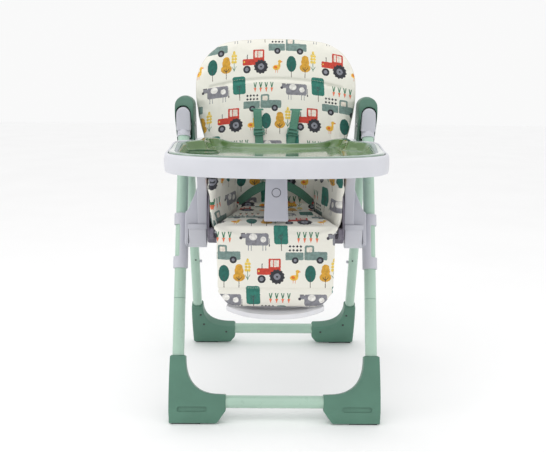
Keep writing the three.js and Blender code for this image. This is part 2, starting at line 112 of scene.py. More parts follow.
# %% Place the camera
CAMERA_PITCH = math.radians(11.484)
CAMERA_YAW = math.radians(0.38)
CAMERA_ROLL = math.radians(0.4686)
ahead = Vector((math.sin(CAMERA_YAW) * math.cos(CAMERA_PITCH),
                math.cos(CAMERA_YAW) * math.cos(CAMERA_PITCH), -math.sin(CAMERA_PITCH)))
level = Vector((math.cos(CAMERA_YAW), -math.sin(CAMERA_YAW), 0))
above = level.cross(ahead)
right = level * math.cos(CAMERA_ROLL) + above * math.sin(CAMERA_ROLL)
up = above * math.cos(CAMERA_ROLL) - level * math.sin(CAMERA_ROLL)
camera = linked("camera", bpy.data.cameras.new("camera"))
camera.data.sensor_width = 36
camera.data.lens = 50.79
turn = Matrix((right, up, -ahead)).transposed().to_4x4()
camera.matrix_world = Matrix.Translation((-0.0222, -2.3232, 0.989)) @ turn
bpy.context.scene.camera = camera
print("camera at", tuple(round(c, 3) for c in camera.location), "lens", camera.data.lens)

# %% [markdown]
# ## Light and floor
# A soft white studio: a near-white world, a big soft light above, a fill from each side, and a
# pale floor that only catches a faint shadow.

# %% Light the studio
def soft_light(name, place, target, size, power):
    lamp = bpy.data.lights.new(name, "AREA")
    lamp.shape = "RECTANGLE"
    lamp.size = size[0]
    lamp.size_y = size[1]
    lamp.energy = power
    holder = linked(name, lamp)
    holder.location = place
    holder.rotation_euler = (Vector(target) - Vector(place)).to_track_quat("-Z", "Y").to_euler()


world = bpy.data.worlds.new("studio")
bpy.context.scene.world = world
world.use_nodes = True
world.node_tree.nodes["Background"].inputs["Color"].default_value = (1, 1, 1, 1)
world.node_tree.nodes["Background"].inputs["Strength"].default_value = 0.95
soft_light("top_light", (-0.5, -1.0, 3.0), (0, 0, 0.6), (2.4, 2.0), 15)
soft_light("left_fill", (-2.6, -1.2, 1.4), (0, 0, 0.6), (0.9, 1.8), 7)
soft_light("right_fill", (2.6, -0.9, 1.3), (0, 0, 0.6), (0.7, 1.8), 4)
view_settings = bpy.context.scene.view_settings
view_settings.view_transform = "Standard"

# %% [markdown]
# ## Building materials from nodes
# Every finish here is made from shader nodes. A small helper class keeps the node code short: it
# adds a node, links what it is given, and hands back the output, so a pattern reads like a sum.

# %% A helper for node sums
def srgb(code):
    """The linear colour of a six-digit web colour."""
    parts = [int(code[i:i + 2], 16) / 255 for i in (0, 2, 4)]
    return tuple(c / 12.92 if c <= 0.04045 else ((c + 0.055) / 1.055) ** 2.4 for c in parts) + (1,)


class Sums:
    """Adds nodes to one tree. Values may be numbers, vectors or other nodes' outputs."""

    def __init__(self, tree):
        self.tree = tree

    def node(self, kind, **settings):
        made = self.tree.nodes.new(kind)
        for key, value in settings.items():
            setattr(made, key, value)
        return made

    def feed(self, socket, value):
        if isinstance(value, bpy.types.NodeSocket):
            self.tree.links.new(value, socket)
        elif value is not None:
            socket.default_value = value

    def math(self, operation, first, second=None, third=None):
        made = self.node("ShaderNodeMath", operation=operation)
        for socket, value in zip(made.inputs, (first, second, third)):
            self.feed(socket, value)
        return made.outputs[0]

    def plus(self, first, second):
        return self.math("ADD", first, second)

    def minus(self, first, second):
        return self.math("SUBTRACT", first, second)

    def times(self, first, second):
        return self.math("MULTIPLY", first, second)

    def size(self, value):
        return self.math("ABSOLUTE", value)

    def below(self, value, limit):
        return self.math("LESS_THAN", value, limit)

    def vector(self, operation, first, second=None):
        made = self.node("ShaderNodeVectorMath", operation=operation)
        for socket, value in zip(made.inputs, (first, second)):
            self.feed(socket, value)
        return made.outputs["Value" if operation in ("DOT_PRODUCT", "LENGTH") else "Vector"]

    def split(self, value):
        made = self.node("ShaderNodeSeparateXYZ")
        self.feed(made.inputs[0], value)
        return made.outputs[:3]

    def join(self, x, y, z=0.0):
        made = self.node("ShaderNodeCombineXYZ")
        for socket, value in zip(made.inputs, (x, y, z)):
            self.feed(socket, value)
        return made.outputs[0]

    def mix(self, share, first, second):
        made = self.node("ShaderNodeMix", data_type="RGBA")
        self.feed(made.inputs["Factor"], share)
        self.feed(made.inputs[6], first)
        self.feed(made.inputs[7], second)
        return made.outputs[2]

    def noise(self, place, scale, detail=2.0, rough=0.5):
        made = self.node("ShaderNodeTexNoise")
        self.feed(made.inputs["Vector"], place)
        self.feed(made.inputs["Scale"], scale)
        self.feed(made.inputs["Detail"], detail)
        self.feed(made.inputs["Roughness"], rough)
        return made.outputs["Fac"]

    def remap(self, value, low, high, to_low, to_high):
        made = self.node("ShaderNodeMapRange")
        for socket, number in zip(made.inputs, (value, low, high, to_low, to_high)):
            self.feed(socket, number)
        return made.outputs[0]

    def bump(self, height, distance, strength=1.0, under=None):
        made = self.node("ShaderNodeBump")
        self.feed(made.inputs["Height"], height)
        self.feed(made.inputs["Distance"], distance)
        self.feed(made.inputs["Strength"], strength)
        self.feed(made.inputs["Normal"], under)
        return made.outputs[0]


def new_finish(name):
    """A material with its Principled shader, its node sums, and the object's own coordinates."""
    finish = bpy.data.materials.new(name)
    finish.use_nodes = True
    sums = Sums(finish.node_tree)
    shader = finish.node_tree.nodes["Principled BSDF"]
    place = sums.node("ShaderNodeTexCoord").outputs["Object"]
    return finish, sums, shader, place


# %% [markdown]
# ## Moulded plastic, paint, steel and rubber
# Injection-moulded plastic has a fine spark-eroded grain and slightly uneven gloss, and it gets paler along
# its edges from handling. Powder paint has a soft orange-peel ripple.

# %% Hard finishes
def moulded_finish(name, colour, rough=0.45, grain=0.00006, shade=0.06, wear=0.25, coat=0.0):
    finish, sums, shader, place = new_finish(name)
    cloud = sums.noise(place, 9.0, 3.0)
    speck = sums.noise(place, 900.0, 2.0)
    dark = tuple(c * (1 - shade * 2) for c in colour[:3]) + (1,)
    light = tuple(min(1, c * (1 + shade)) for c in colour[:3]) + (1,)
    body = sums.mix(sums.remap(cloud, 0.35, 0.65, 0, 1), dark, light)
    edge = sums.remap(sums.node("ShaderNodeNewGeometry").outputs["Pointiness"], 0.52, 0.6, 0, wear)
    pale = tuple(min(1, c * 1.25 + 0.03) for c in colour[:3]) + (1,)
    sums.feed(shader.inputs["Base Color"], sums.mix(edge, body, pale))
    scuff = sums.noise(place, 60.0, 5.0, 0.65)
    sums.feed(shader.inputs["Roughness"], sums.remap(scuff, 0.3, 0.7, rough - 0.05, rough + 0.08))
    ripple = sums.bump(sums.noise(place, 35.0, 1.0), 0.0002, 0.5)
    sums.feed(shader.inputs["Normal"], sums.bump(speck, grain, 0.6, ripple))
    shader.inputs["Coat Weight"].default_value = coat
    shader.inputs["Coat Roughness"].default_value = 0.2
    return finish


def steel_finish():
    finish, sums, shader, place = new_finish("brushed_steel")
    x, y, z = sums.split(place)
    streak = sums.noise(sums.join(sums.times(x, 20.0), sums.times(y, 900.0),
                                  sums.times(z, 900.0)), 1.0, 2.0)
    sums.feed(shader.inputs["Base Color"], sums.mix(streak, srgb("9fa2a6"), srgb("c9cbce")))
    sums.feed(shader.inputs["Roughness"], sums.remap(streak, 0, 1, 0.22, 0.42))
    sums.feed(shader.inputs["Normal"], sums.bump(streak, 0.00005, 0.5))
    shader.inputs["Metallic"].default_value = 1.0
    return finish


FRAME_PAINT = moulded_finish("frame_paint", srgb("a2bfae"), 0.3, 0.00003, 0.03, 0.2, coat=0.35)
FOOT_GREEN = moulded_finish("foot_green", srgb("537d6b"), 0.42, 0.00008, 0.05)
HUB_GREEN = moulded_finish("hub_green", srgb("48705f"), 0.4, 0.00008, 0.05)
CARRIER_GREY = moulded_finish("carrier_grey", srgb("c0c1c9"), 0.42, 0.00006, 0.03)
STEP_GREY = moulded_finish("step_grey", srgb("dcdcdf"), 0.4, 0.00005, 0.02)
TRAY_GREY = moulded_finish("tray_grey", srgb("d0d1d7"), 0.38, 0.00005, 0.02)
# The lever's grey is lighter than the carrier's it matches: painted light that makes up for the tray's shade
# over it.
LEVER_GREY_LIT = moulded_finish("lever_grey_painted_light", srgb("cccdd4"), 0.45, 0.00008, 0.04)
# The post's grey is darker than the carrier's: painted shade for the tray's shadow that falls on it.
POST_GREY_SHADED = moulded_finish("post_grey_painted_shade", srgb("b0b1ba"), 0.42, 0.00006, 0.03)
INK_GREY = moulded_finish("ink_grey", srgb("5a5b62"), 0.5, 0.00004, 0.04)
DARK_STEEL = moulded_finish("dark_steel", srgb("3d403f"), 0.35, 0.00004, 0.05)
SHELL_GREY = moulded_finish("shell_grey", srgb("6d6875"), 0.55, 0.00012, 0.05)
PAD_RUBBER = moulded_finish("pad_rubber", srgb("2f3133"), 0.8, 0.0002, 0.1, 0.4)
BUCKLE_PLASTIC = moulded_finish("buckle_plastic", srgb("4a8270"), 0.4, 0.00006, 0.05)
STEEL = steel_finish()
print("hard finishes:", [m.name for m in bpy.data.materials if m.use_nodes])

# %% [markdown]
# ## The tray insert's bottle green
# The insert is a thick, glossy, slightly see-through green moulding. Where it lies thin over the pale tray
# rim it looks like mint; where it is deep it turns olive. The dish floor is kept paler than the back wall as
# a painted reflection. A point attribute called "depth", made with the mesh, says how deep each place lies,
# with the floor's value lowered for that painted reflection.

# %% Bottle green
def bottle_green():
    finish, sums, shader, place = new_finish("bottle_green")
    depth_and_sheen = sums.node("ShaderNodeAttribute", attribute_name="depth").outputs["Fac"]
    cloud = sums.noise(place, 6.0, 2.0)
    inner = sums.mix(cloud, srgb("56783f"), srgb("64894b"))
    # Low values give mint and high values give olive. The dish floor's middle value is painted reflection.
    thin = sums.mix(depth_and_sheen, srgb("9db3a6"), inner)
    cup = sums.remap(depth_and_sheen, 1.0, 2.0, 0, 1)
    sums.feed(shader.inputs["Base Color"], sums.mix(cup, thin, srgb("33664e")))
    scratch = sums.noise(place, 45.0, 6.0, 0.7)
    sums.feed(shader.inputs["Roughness"], sums.remap(scratch, 0.35, 0.7, 0.07, 0.2))
    sums.feed(shader.inputs["Normal"], sums.bump(sums.noise(place, 14.0, 1.0), 0.0005, 0.4))
    shader.inputs["Transmission Weight"].default_value = 0.12
    shader.inputs["IOR"].default_value = 1.49
    shader.inputs["Coat Weight"].default_value = 1.0
    shader.inputs["Coat Roughness"].default_value = 0.06
    return finish


BOTTLE_GREEN = bottle_green()
print("insert finish:", BOTTLE_GREEN.name)

# %% [markdown]
# ## The printed cloth
# The seat cover is an off-white woven cloth, printed with a small farm scene that repeats on a
# slanted lattice: a tractor, a pickup with a trailer of seedlings, a cow, a duck, carrots, an ear
# of wheat and three kinds of tree. Each motif is drawn with plain shapes: ellipses, rounded
# bars and rings. The cloth's own coordinates are in metres along the cloth, from a UV map that
# each cushion gets, so the print keeps its size and turns the corners with the cloth.

# %% The print, as sums
REPEAT_ACROSS = 241.0
REPEAT_SHIFT = -76.0
REPEAT_DOWN = -174.0

INK = {name: srgb(code) for name, code in {
    "red": "cf4434", "tyre": "33343b", "rim": "8d8f99", "glass": "f1e6d8", "slate": "7b948e",
    "teal": "23675c", "deep_teal": "2f7d6e", "twig": "5a4a3a", "mustard": "dda63a",
    "wheat": "f0cf5a", "leaf": "3f7f5f", "cow": "8b8b92", "patch": "f2f0ea", "duck": "f3c14b",
    "beak": "e9772e", "carrot": "f07f5a", "muzzle": "4a4750"}.items()}


class Print:
    """Draws one repeating motif after another over a ground colour. Sizes are millimetres."""

    def __init__(self, sums, place, ground, wash):
        self.sums = sums
        self.place = place
        self.colour = ground
        self.wash = wash

    def motif(self, across, down, lean=0.0):
        """Starts a motif whose middle lies at that offset from the tractor."""
        s = self.sums
        here = s.vector("SUBTRACT", self.place, (across, down, 0))
        row = s.vector("DOT_PRODUCT", here, (0, 1 / REPEAT_DOWN, 0))
        column = s.vector("DOT_PRODUCT", here,
                          (1 / REPEAT_ACROSS, -REPEAT_SHIFT / REPEAT_DOWN / REPEAT_ACROSS, 0))
        row = s.minus(s.math("FRACT", s.plus(row, 0.5)), 0.5)
        column = s.minus(s.math("FRACT", s.plus(column, 0.5)), 0.5)
        y = s.times(row, REPEAT_DOWN)
        x = s.plus(s.times(column, REPEAT_ACROSS),
                   s.times(row, REPEAT_SHIFT))
        self.x = s.math("MULTIPLY_ADD", y, lean, x)
        self.y = y

    def paint(self, inside, ink):
        colour = INK[ink]
        tone = tuple(c * 0.72 for c in colour[:3]) + (1,)
        self.colour = self.sums.mix(inside, self.colour, self.sums.mix(self.wash, colour, tone))

    def oval(self, cx, cy, rx, ry, colour):
        s = self.sums
        across = s.times(s.minus(self.x, cx), 1 / rx)
        upward = s.times(s.minus(self.y, cy), 1 / ry)
        size = s.plus(s.times(across, across), s.times(upward, upward))
        self.paint(s.below(size, 1.0), colour)

    def bar(self, cx, cy, hx, hy, colour, corner=1.0, x=None):
        """A rounded bar, hx and hy from its middle to its sides."""
        s = self.sums
        dx = s.size(s.minus(self.x if x is None else x, cx))
        dy = s.size(s.minus(self.y, cy))
        qx = s.math("MAXIMUM", s.minus(dx, hx - corner), 0.0)
        qy = s.math("MAXIMUM", s.minus(dy, hy - corner), 0.0)
        far = s.plus(s.times(qx, qx), s.times(qy, qy))
        self.paint(s.below(far, corner * corner), colour)

    def stem_fork(self, base, reach, rise, colour, thick=0.9):
        """A small V of two twigs that start at height base."""
        s = self.sums
        side = s.size(self.x)
        line = s.minus(s.minus(self.y, base), s.times(side, rise))
        near = s.below(s.size(line), thick * 1.6)
        inside = s.below(side, reach)
        self.paint(s.times(near, inside), colour)

    def repeat(self, value, step):
        s = self.sums
        cell = s.math("FRACT", s.times(value, 1 / step))
        return s.times(s.minus(cell, 0.5), step)

    def within(self, value, low, high):
        s = self.sums
        return s.below(s.size(s.minus(value, (low + high) / 2)),
                      (high - low) / 2)


def draw_farm(p):
    """Paints each motif in turn: a later shape covers an earlier one."""
    s = p.sums
    p.motif(-66, 4)
    p.stem_fork(-25, 7, 1.7, "leaf")
    p.bar(0, -14, 0.8, 14, "leaf")
    seeds = p.repeat(s.plus(p.y, 4.0), 9.0)
    grain = s.minus(s.size(p.x), 4.2)
    keep = p.within(p.y, -5, 25)
    ear = s.times(keep, s.below(s.plus(s.math("POWER", s.size(s.times(grain, 0.23)), 2.0),
        s.math("POWER", s.size(s.times(seeds, 0.24)), 2.0)), 1.0))
    p.paint(ear, "wheat")
    p.oval(0, 28, 3.6, 6, "wheat")

    p.motif(0, 0)
    p.bar(-26, 15, 1.1, 9, "tyre")
    p.bar(9, 20, 17, 18, "red", 3)
    p.bar(9, 24, 12, 10, "glass", 2)
    p.bar(6, 24, 1.2, 11, "red")
    p.bar(-10, 1, 30, 9.5, "red", 4)
    p.oval(-35, 2, 2.2, 2.6, "wheat")
    wheel_x = s.minus(p.x, 16.0)
    wheel_y = s.minus(p.y, -14.0)
    angle = s.math("ARCTAN2", wheel_y, wheel_x)
    reach = s.math("SQRT", s.plus(s.times(wheel_x, wheel_x),
                                  s.times(wheel_y, wheel_y)))
    cleats = s.times(s.math("SIGN", s.math("SINE", s.times(angle, 12.0))), 1.1)
    p.paint(s.below(s.plus(reach, cleats), 20.5), "tyre")
    p.oval(16, -14, 9.5, 9.5, "rim")
    p.oval(16, -14, 3, 3, "tyre")
    p.oval(-27, -21, 11.5, 11.5, "tyre")
    p.oval(-27, -21, 5.8, 5.8, "rim")

    p.motif(66, -11)
    legs = s.minus(s.size(s.plus(p.x, 2.0)), 3.0)
    p.bar(0, -17, 0.7, 5, "beak", 0.5, x=legs)
    p.oval(-3, -6, 11.5, 8, "duck")
    p.bar(6, 3, 3.2, 9, "duck", 3)
    p.oval(7, 12, 5.2, 5, "duck")
    p.oval(12.5, 11.5, 3.2, 1.6, "beak")
    p.oval(-5, -5, 5.2, 4.2, "beak")

    p.motif(109, -13)
    p.bar(0, -22, 0.9, 11, "twig")
    p.oval(0, 8, 15, 24, "teal")
    p.bar(0, -8, 0.7, 9, "muzzle")
    p.motif(151, -11)
    p.oval(0, -4, 16.5, 13, "mustard")
    p.oval(0, 13, 12.5, 13.5, "mustard")
    p.oval(0, 24, 10, 9, "mustard")
    p.bar(0, -18, 0.9, 17, "twig")
    p.stem_fork(-13, 8, 1.1, "twig")
    p.motif(-50, -76, 0.05)
    p.bar(0, -26, 1.0, 12, "twig")
    p.bar(0, 8, 19.5, 27, "deep_teal", 7)
    p.bar(0, -6, 0.8, 14, "muzzle")
    p.stem_fork(-6, 8, 1.1, "muzzle", 0.6)
    p.stem_fork(2, 6, 1.1, "muzzle", 0.6)

    p.motif(24, -74)
    inside = p.within(p.x, -34, 34)
    carrot_x = p.repeat(s.plus(p.x, 34.0), 17.0)
    root = s.below(s.size(carrot_x), s.times(s.plus(p.y, 18.0), 0.3))
    p.paint(s.times(s.times(root, inside), p.within(p.y, -17, -4)),
            "carrot")
    frond = s.size(s.minus(s.size(carrot_x),
                                                s.times(s.plus(p.y, 4.0), 0.22)))
    leaves = s.below(frond, 1.5)
    p.paint(s.times(s.times(leaves, inside), p.within(p.y, -4, 13)),
            "leaf")

    p.motif(120, -86)
    legs = s.minus(s.size(s.minus(p.x, 5.0)), 20.0)
    legs = s.minus(s.size(legs), 4.0)
    p.bar(0, -20, 0.9, 8, "rim", 0.8, x=legs)
    p.bar(5, 4, 32, 17, "cow", 6)
    p.bar(-33, 13, 7, 6, "cow", 3)
    p.oval(-40, 8, 4, 4.2, "muzzle")
    p.bar(-34, 20, 6, 1.2, "muzzle")
    p.oval(-6, 11, 11, 9.5, "patch")
    p.oval(22, 4, 8, 8, "patch")
    p.bar(39, -3, 1.0, 10, "cow")
    p.oval(39, -13, 1.9, 3.4, "muzzle")

    p.motif(20, -126)
    sprout_x = p.repeat(p.x, 10.0)
    sprout_y = p.repeat(s.plus(p.y, 2.5), 11.0)
    near = s.below(s.plus(s.size(sprout_x),
                                                s.size(sprout_y)), 4.0)
    bed = s.times(p.within(p.x, -50, -10), p.within(p.y, 8.5, 30.5))
    p.paint(s.times(near, bed), "tyre")
    p.bar(-32, -3, 25, 11, "slate", 2)
    p.bar(27, -2, 32, 12, "slate", 4)
    p.bar(9, 16, 13, 12, "slate", 5)
    p.bar(9, 16, 8, 7, "glass", 3)
    p.oval(-30, -15, 9.5, 9.5, "tyre")
    p.oval(-30, -15, 4.2, 4.2, "rim")
    p.oval(39, -14, 10, 10, "tyre")
    p.oval(39, -14, 4.5, 4.5, "rim")


def weave(sums, across, along, thread):
    """A plain weave's height: two crossed ripples, a thread wide each."""
    waves = [sums.math("SINE", sums.times(value, math.pi / thread))
             for value in (across, along)]
    return sums.times(waves[0], waves[1])


def printed_cloth():
    finish, sums, shader, place = new_finish("printed_cloth")
    cloth = sums.node("ShaderNodeUVMap", uv_map="cloth").outputs[0]
    flat = sums.vector("SCALE", cloth)
    flat.node.inputs["Scale"].default_value = 1000.0
    wobble = sums.node("ShaderNodeTexNoise")
    sums.feed(wobble.inputs["Vector"], flat)
    wobble.inputs["Scale"].default_value = 0.25
    wobble.inputs["Detail"].default_value = 1.0
    shift = sums.vector("SCALE", sums.vector("SUBTRACT", wobble.outputs["Color"], (0.5, 0.5, 0.5)))
    shift.node.inputs["Scale"].default_value = 2.2
    drawn_at = sums.vector("ADD", flat, shift)
    wash = sums.remap(sums.noise(flat, 0.12, 3.0), 0.35, 0.65, 0, 1)
    yarn = sums.noise(flat, 1.3, 2.0)
    ground = sums.mix(sums.remap(yarn, 0.3, 0.7, 0, 1), srgb("e3e1d6"), srgb("ebe9df"))
    farm = Print(sums, drawn_at, ground, wash)
    draw_farm(farm)
    sums.feed(shader.inputs["Base Color"], farm.colour)
    sums.feed(shader.inputs["Roughness"], sums.remap(yarn, 0.3, 0.7, 0.72, 0.9))
    u, v = sums.split(flat)[:2]
    threads = weave(sums, u, v, 0.55)
    soft = sums.bump(sums.noise(place, 30.0, 2.0), 0.0012, 0.35)
    sums.feed(shader.inputs["Normal"], sums.bump(threads, 0.00012, 0.35, soft))
    shader.inputs["Sheen Weight"].default_value = 0.12
    shader.inputs["Sheen Roughness"].default_value = 0.5
    return finish


PRINTED = printed_cloth()
print("printed cloth has", len(PRINTED.node_tree.nodes), "nodes")

# %% [markdown]
# ## Webbing and piping
# Harness webbing is a flat woven band: fine ribs run across it, and a stitched edge runs along
# each side. Its UV map has u across the band from 0 to 1 and v in metres along it.

# %% Woven bands
def webbing_finish():
    finish, sums, shader, place = new_finish("green_webbing")
    u, v = sums.split(sums.node("ShaderNodeUVMap", uv_map="cloth").outputs[0])[:2]
    rib = sums.math("SINE", sums.times(v, 2 * math.pi / 0.0016))
    cross = sums.math("SINE", sums.times(u, 2 * math.pi * 12))
    height = sums.times(rib, cross)
    fuzz = sums.noise(place, 420.0, 3.0)
    tone = sums.mix(sums.remap(height, -1, 1, 0, 1), srgb("3c6f5d"), srgb("558c77"))
    tone = sums.mix(sums.remap(fuzz, 0.35, 0.65, 0, 0.5), tone, srgb("6aa489"))
    side = sums.size(sums.minus(u, 0.5))
    hem = sums.math("GREATER_THAN", side, 0.42)
    tone = sums.mix(sums.times(hem, 0.4), tone, srgb("3d6b58"))
    sums.feed(shader.inputs["Base Color"], tone)
    sums.feed(shader.inputs["Roughness"], sums.remap(fuzz, 0.3, 0.7, 0.6, 0.85))
    sums.feed(shader.inputs["Normal"], sums.bump(height, 0.0004, 0.6))
    shader.inputs["Sheen Weight"].default_value = 0.2
    return finish


def piping_finish():
    finish, sums, shader, place = new_finish("piping_cloth")
    x, y, z = sums.split(place)
    twist = sums.math("SINE", sums.times(sums.plus(sums.plus(x, y), z), 3200.0))
    fuzz = sums.noise(place, 500.0, 2.0)
    tone = sums.mix(sums.remap(twist, -1, 1, 0, 1), srgb("d9d6c8"), srgb("ece9de"))
    sums.feed(shader.inputs["Base Color"], sums.mix(sums.times(fuzz, 0.3), tone, srgb("c9c6b8")))
    sums.feed(shader.inputs["Roughness"], sums.remap(fuzz, 0.3, 0.7, 0.7, 0.9))
    sums.feed(shader.inputs["Normal"], sums.bump(twist, 0.0002, 0.5))
    return finish


WEBBING = webbing_finish()
PIPING = piping_finish()
print("soft finishes:", PRINTED.name, WEBBING.name, PIPING.name)

# %% [markdown]
# ## Making pieces
# A few helpers turn a bmesh into a finished piece. Each piece keeps its place in its mesh, with
# its object at the origin. `moulded` starts from the measured solid, rebuilds its skin as fine
# even faces and relaxes them, which gives the rounded edges that a mould has. `edged` keeps the
# flat faces and only bevels the sharp edges, which suits small crisp parts.

# %% Helpers for pieces
PIECES = []


def new_piece(name, bm, finish, body, slot, *stands_for, smooth=True, angle=40):
    piece = linked(name, mesh_of(name, bm))
    dress(piece, finish, body, slot, *stands_for, smooth=smooth, angle=angle)
    return piece


def dress(piece, finish, body, slot, *stands_for, smooth=True, angle=40):
    mesh = piece.data
    mesh.materials.clear()
    mesh.materials.append(finish)
    for face in mesh.polygons:
        face.use_smooth = smooth
    if smooth and angle:
        mesh.set_sharp_from_angle(angle=math.radians(angle))
    if body:
        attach(piece, body)
    if stands_for:
        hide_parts(*stands_for)
    PIECES.append(piece.name)


def applied(bm, add_modifiers):
    """The mesh that a bmesh turns into when the modifiers that add_modifiers puts on are applied."""
    work = linked("work", mesh_of("work", bm))
    add_modifiers(work)
    graph = bpy.context.evaluated_depsgraph_get()
    result = bpy.data.meshes.new_from_object(work.evaluated_get(graph), depsgraph=graph)
    bpy.data.objects.remove(work)
    done = bmesh.new()
    done.from_mesh(result)
    bpy.data.meshes.remove(result)
    return done


def solid_of(node):
    """A merged copy of a measured solid."""
    bm = bmesh.new()
    bm.from_mesh(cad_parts[node].data)
    bmesh.ops.remove_doubles(bm, verts=bm.verts, dist=0.00002)
    return bm


def remeshed(bm, voxel, passes, factor=0.5):
    def add(work):
        skin = work.modifiers.new("skin", "REMESH")
        skin.mode = "VOXEL"
        skin.voxel_size = voxel * MM
        relax = work.modifiers.new("relax", "SMOOTH")
        relax.factor = factor
        relax.iterations = passes
    return applied(bm, add)


def moulded(node, finish, body, slot, voxel=1.6, passes=5, cutter=None):
    bm = solid_of(node)
    if cutter:
        bm = carved(bm, cutter)
    bm = remeshed(bm, voxel, passes)
    return new_piece(node + "_skin", bm, finish, body, slot, node, angle=0)


def bevel_sharp(bm, width, segments=3, angle=30):
    sharp = [e for e in bm.edges if len(e.link_faces) == 2
             and e.calc_face_angle(0) > math.radians(angle)]
    bmesh.ops.bevel(bm, geom=sharp, offset=width * MM, offset_type="OFFSET", segments=segments,
                    profile=0.5, affect="EDGES", clamp_overlap=True, material=-1)


def edged(node, finish, body, slot, width=0.8, segments=2):
    bm = solid_of(node)
    bmesh.ops.dissolve_limit(bm, angle_limit=math.radians(2), verts=bm.verts, edges=bm.edges)
    bevel_sharp(bm, width, segments)
    return new_piece(node + "_part", bm, finish, body, slot, node, angle=35)


def block(size, place):
    """A box of that size (mm) in x, y and z, centred on place."""
    bm = bmesh.new()
    bmesh.ops.create_cube(bm, size=1, matrix=place @ Matrix.Diagonal((*(c * MM for c in size), 1)))
    return bm


def rod_of(radius, place, length, sides=48, top=None):
    """A solid rod (mm) about the z axis of place, centred on it; top is its radius at the top."""
    bm = bmesh.new()
    bmesh.ops.create_cone(bm, cap_ends=True, segments=sides, radius1=radius * MM,
                          radius2=(radius if top is None else top) * MM, depth=length * MM,
                          matrix=place)
    return bm


def extruded(corners, shift):
    """A solid: a face with these corners, pushed by shift (all mm)."""
    bm = bmesh.new()
    bm.faces.new([bm.verts.new((x * MM, y * MM, z * MM)) for x, y, z in corners])
    pushed = bmesh.ops.extrude_face_region(bm, geom=bm.faces[:], use_keep_orig=True)
    moved = [g for g in pushed["geom"] if isinstance(g, bmesh.types.BMVert)]
    bmesh.ops.translate(bm, verts=moved, vec=[c * MM for c in shift])
    bmesh.ops.recalc_face_normals(bm, faces=bm.faces)
    return bm


def merged(bm, other):
    """Adds another bmesh's solid to bm."""
    mesh = mesh_of("merged", other)
    bm.from_mesh(mesh)
    bpy.data.meshes.remove(mesh)
    return bm


def plate(points, thick, bevel, segments=4, frame_matrix=None):
    """A flat plate: the outline in x and z (mm) becomes a face, extruded along y and bevelled."""
    bm = bmesh.new()
    corners = [bm.verts.new((x * MM, 0, z * MM)) for x, z in points]
    bm.faces.new(corners)
    bmesh.ops.recalc_face_normals(bm, faces=bm.faces)
    if bm.faces[:][0].normal.y > 0:
        bmesh.ops.reverse_faces(bm, faces=bm.faces)
    bmesh.ops.translate(bm, verts=bm.verts, vec=(0, thick[0] * MM, 0))
    pushed = bmesh.ops.extrude_face_region(bm, geom=bm.faces[:], use_keep_orig=True)
    moved = [g for g in pushed["geom"] if isinstance(g, bmesh.types.BMVert)]
    bmesh.ops.translate(bm, verts=moved, vec=(0, (thick[1] - thick[0]) * MM, 0))
    bmesh.ops.recalc_face_normals(bm, faces=bm.faces)
    if bevel:
        bevel_sharp(bm, bevel, segments, 25)
    if frame_matrix is not None:
        bmesh.ops.transform(bm, matrix=frame_matrix, verts=bm.verts)
    return bm


def curve_points(start, control, end, count):
    """Points along a curve that leaves start towards control and arrives at end from it."""
    result = []
    for i in range(count + 1):
        t = i / count
        result.append(tuple(start[k] * (1 - t) ** 2 + 2 * control[k] * t * (1 - t) + end[k] * t * t
                            for k in (0, 1)))
    return result


def bezier_points(p0, p1, p2, p3, count):
    result = []
    for i in range(count + 1):
        t = i / count
        result.append(tuple(p0[k] * (1 - t) ** 3 + 3 * p1[k] * t * (1 - t) ** 2
                            + 3 * p2[k] * t * t * (1 - t) + p3[k] * t ** 3 for k in (0, 1)))
    return result


def mirrored(points, sign):
    return points if sign > 0 else [(-x, z) for x, z in reversed(points)]


# %% [markdown]
# ## Tubes
# The frame is bent steel tube. A tube starts as a cone with equal ends, its end caps are inset
# and pushed in, so that it reads as hollow, and a bevel softens the cut.

# %% Legs and cross tubes
WALL = 1.6
HOLLOW = 12


def tube(radius, low, high, place):
    """A tube of that radius from low to high along z (mm), laid in place by a matrix."""
    bm = rod_of(radius, at(0, 0, (low + high) / 2), high - low)
    caps = [f for f in bm.faces if len(f.verts) > 4]
    bmesh.ops.inset_region(bm, faces=caps, thickness=WALL * MM, use_even_offset=True)
    for cap in [f for f in bm.faces if len(f.verts) > 4]:
        bmesh.ops.translate(bm, verts=cap.verts, vec=-cap.normal * HOLLOW * MM)
    bmesh.ops.transform(bm, matrix=place, verts=bm.verts)
    return bm


FRONT_X = 278.5
REAR_X = 273.0
CROSS_Z = 57
front_top = PIVOT_S_FRONT * 1000 + 14
rear_top = PIVOT_S_REAR * 1000 - 60
for side, sign in SIDES:
    low = 165 / math.cos(FRONT_LEAN)
    leg = tube(17, low, front_top, FRONT_FRAME @ at(sign * FRONT_X, 0, 0))
    new_piece(f"front_leg_tube_{side}", leg, FRAME_PAINT, "front_frame", "tube_paint",
              f"front_leg_{side}")
    low = 150 / math.cos(REAR_LEAN)
    leg = tube(16, low, rear_top, REAR_FRAME @ at(sign * REAR_X, 0, 0))
    new_piece(f"rear_leg_tube_{side}", leg, FRAME_PAINT, "rear_frame", "tube_paint",
              f"rear_leg_{side}")
for kind, placed, lean in (("front", FRONT_FRAME, FRONT_LEAN), ("rear", REAR_FRAME, REAR_LEAN)):
    across = placed @ at(0, 0, CROSS_Z / math.cos(lean)) @ Matrix.Rotation(math.pi / 2, 4, "Y")
    new_piece(f"{kind}_floor_tube", tube(18, -152, 152, across), FRAME_PAINT, f"{kind}_frame",
              "tube_paint", f"{kind}_cross_tube")
print("tubes:", PIECES)

# %% [markdown]
# ## Feet
# Each foot is one thick green moulding: a socket for the leg that sweeps down in a hollow curve
# into a boot for the cross tube. Its outline becomes a plate, the floor and the toe are cut with
# `bisect_plane`, and a wide bevel rounds it. A long slot is sunk into the front face of each
# front foot, and screw heads sit in the back of the rear ones.

# %% Foot shapes
FOOT_INNER = 139.5


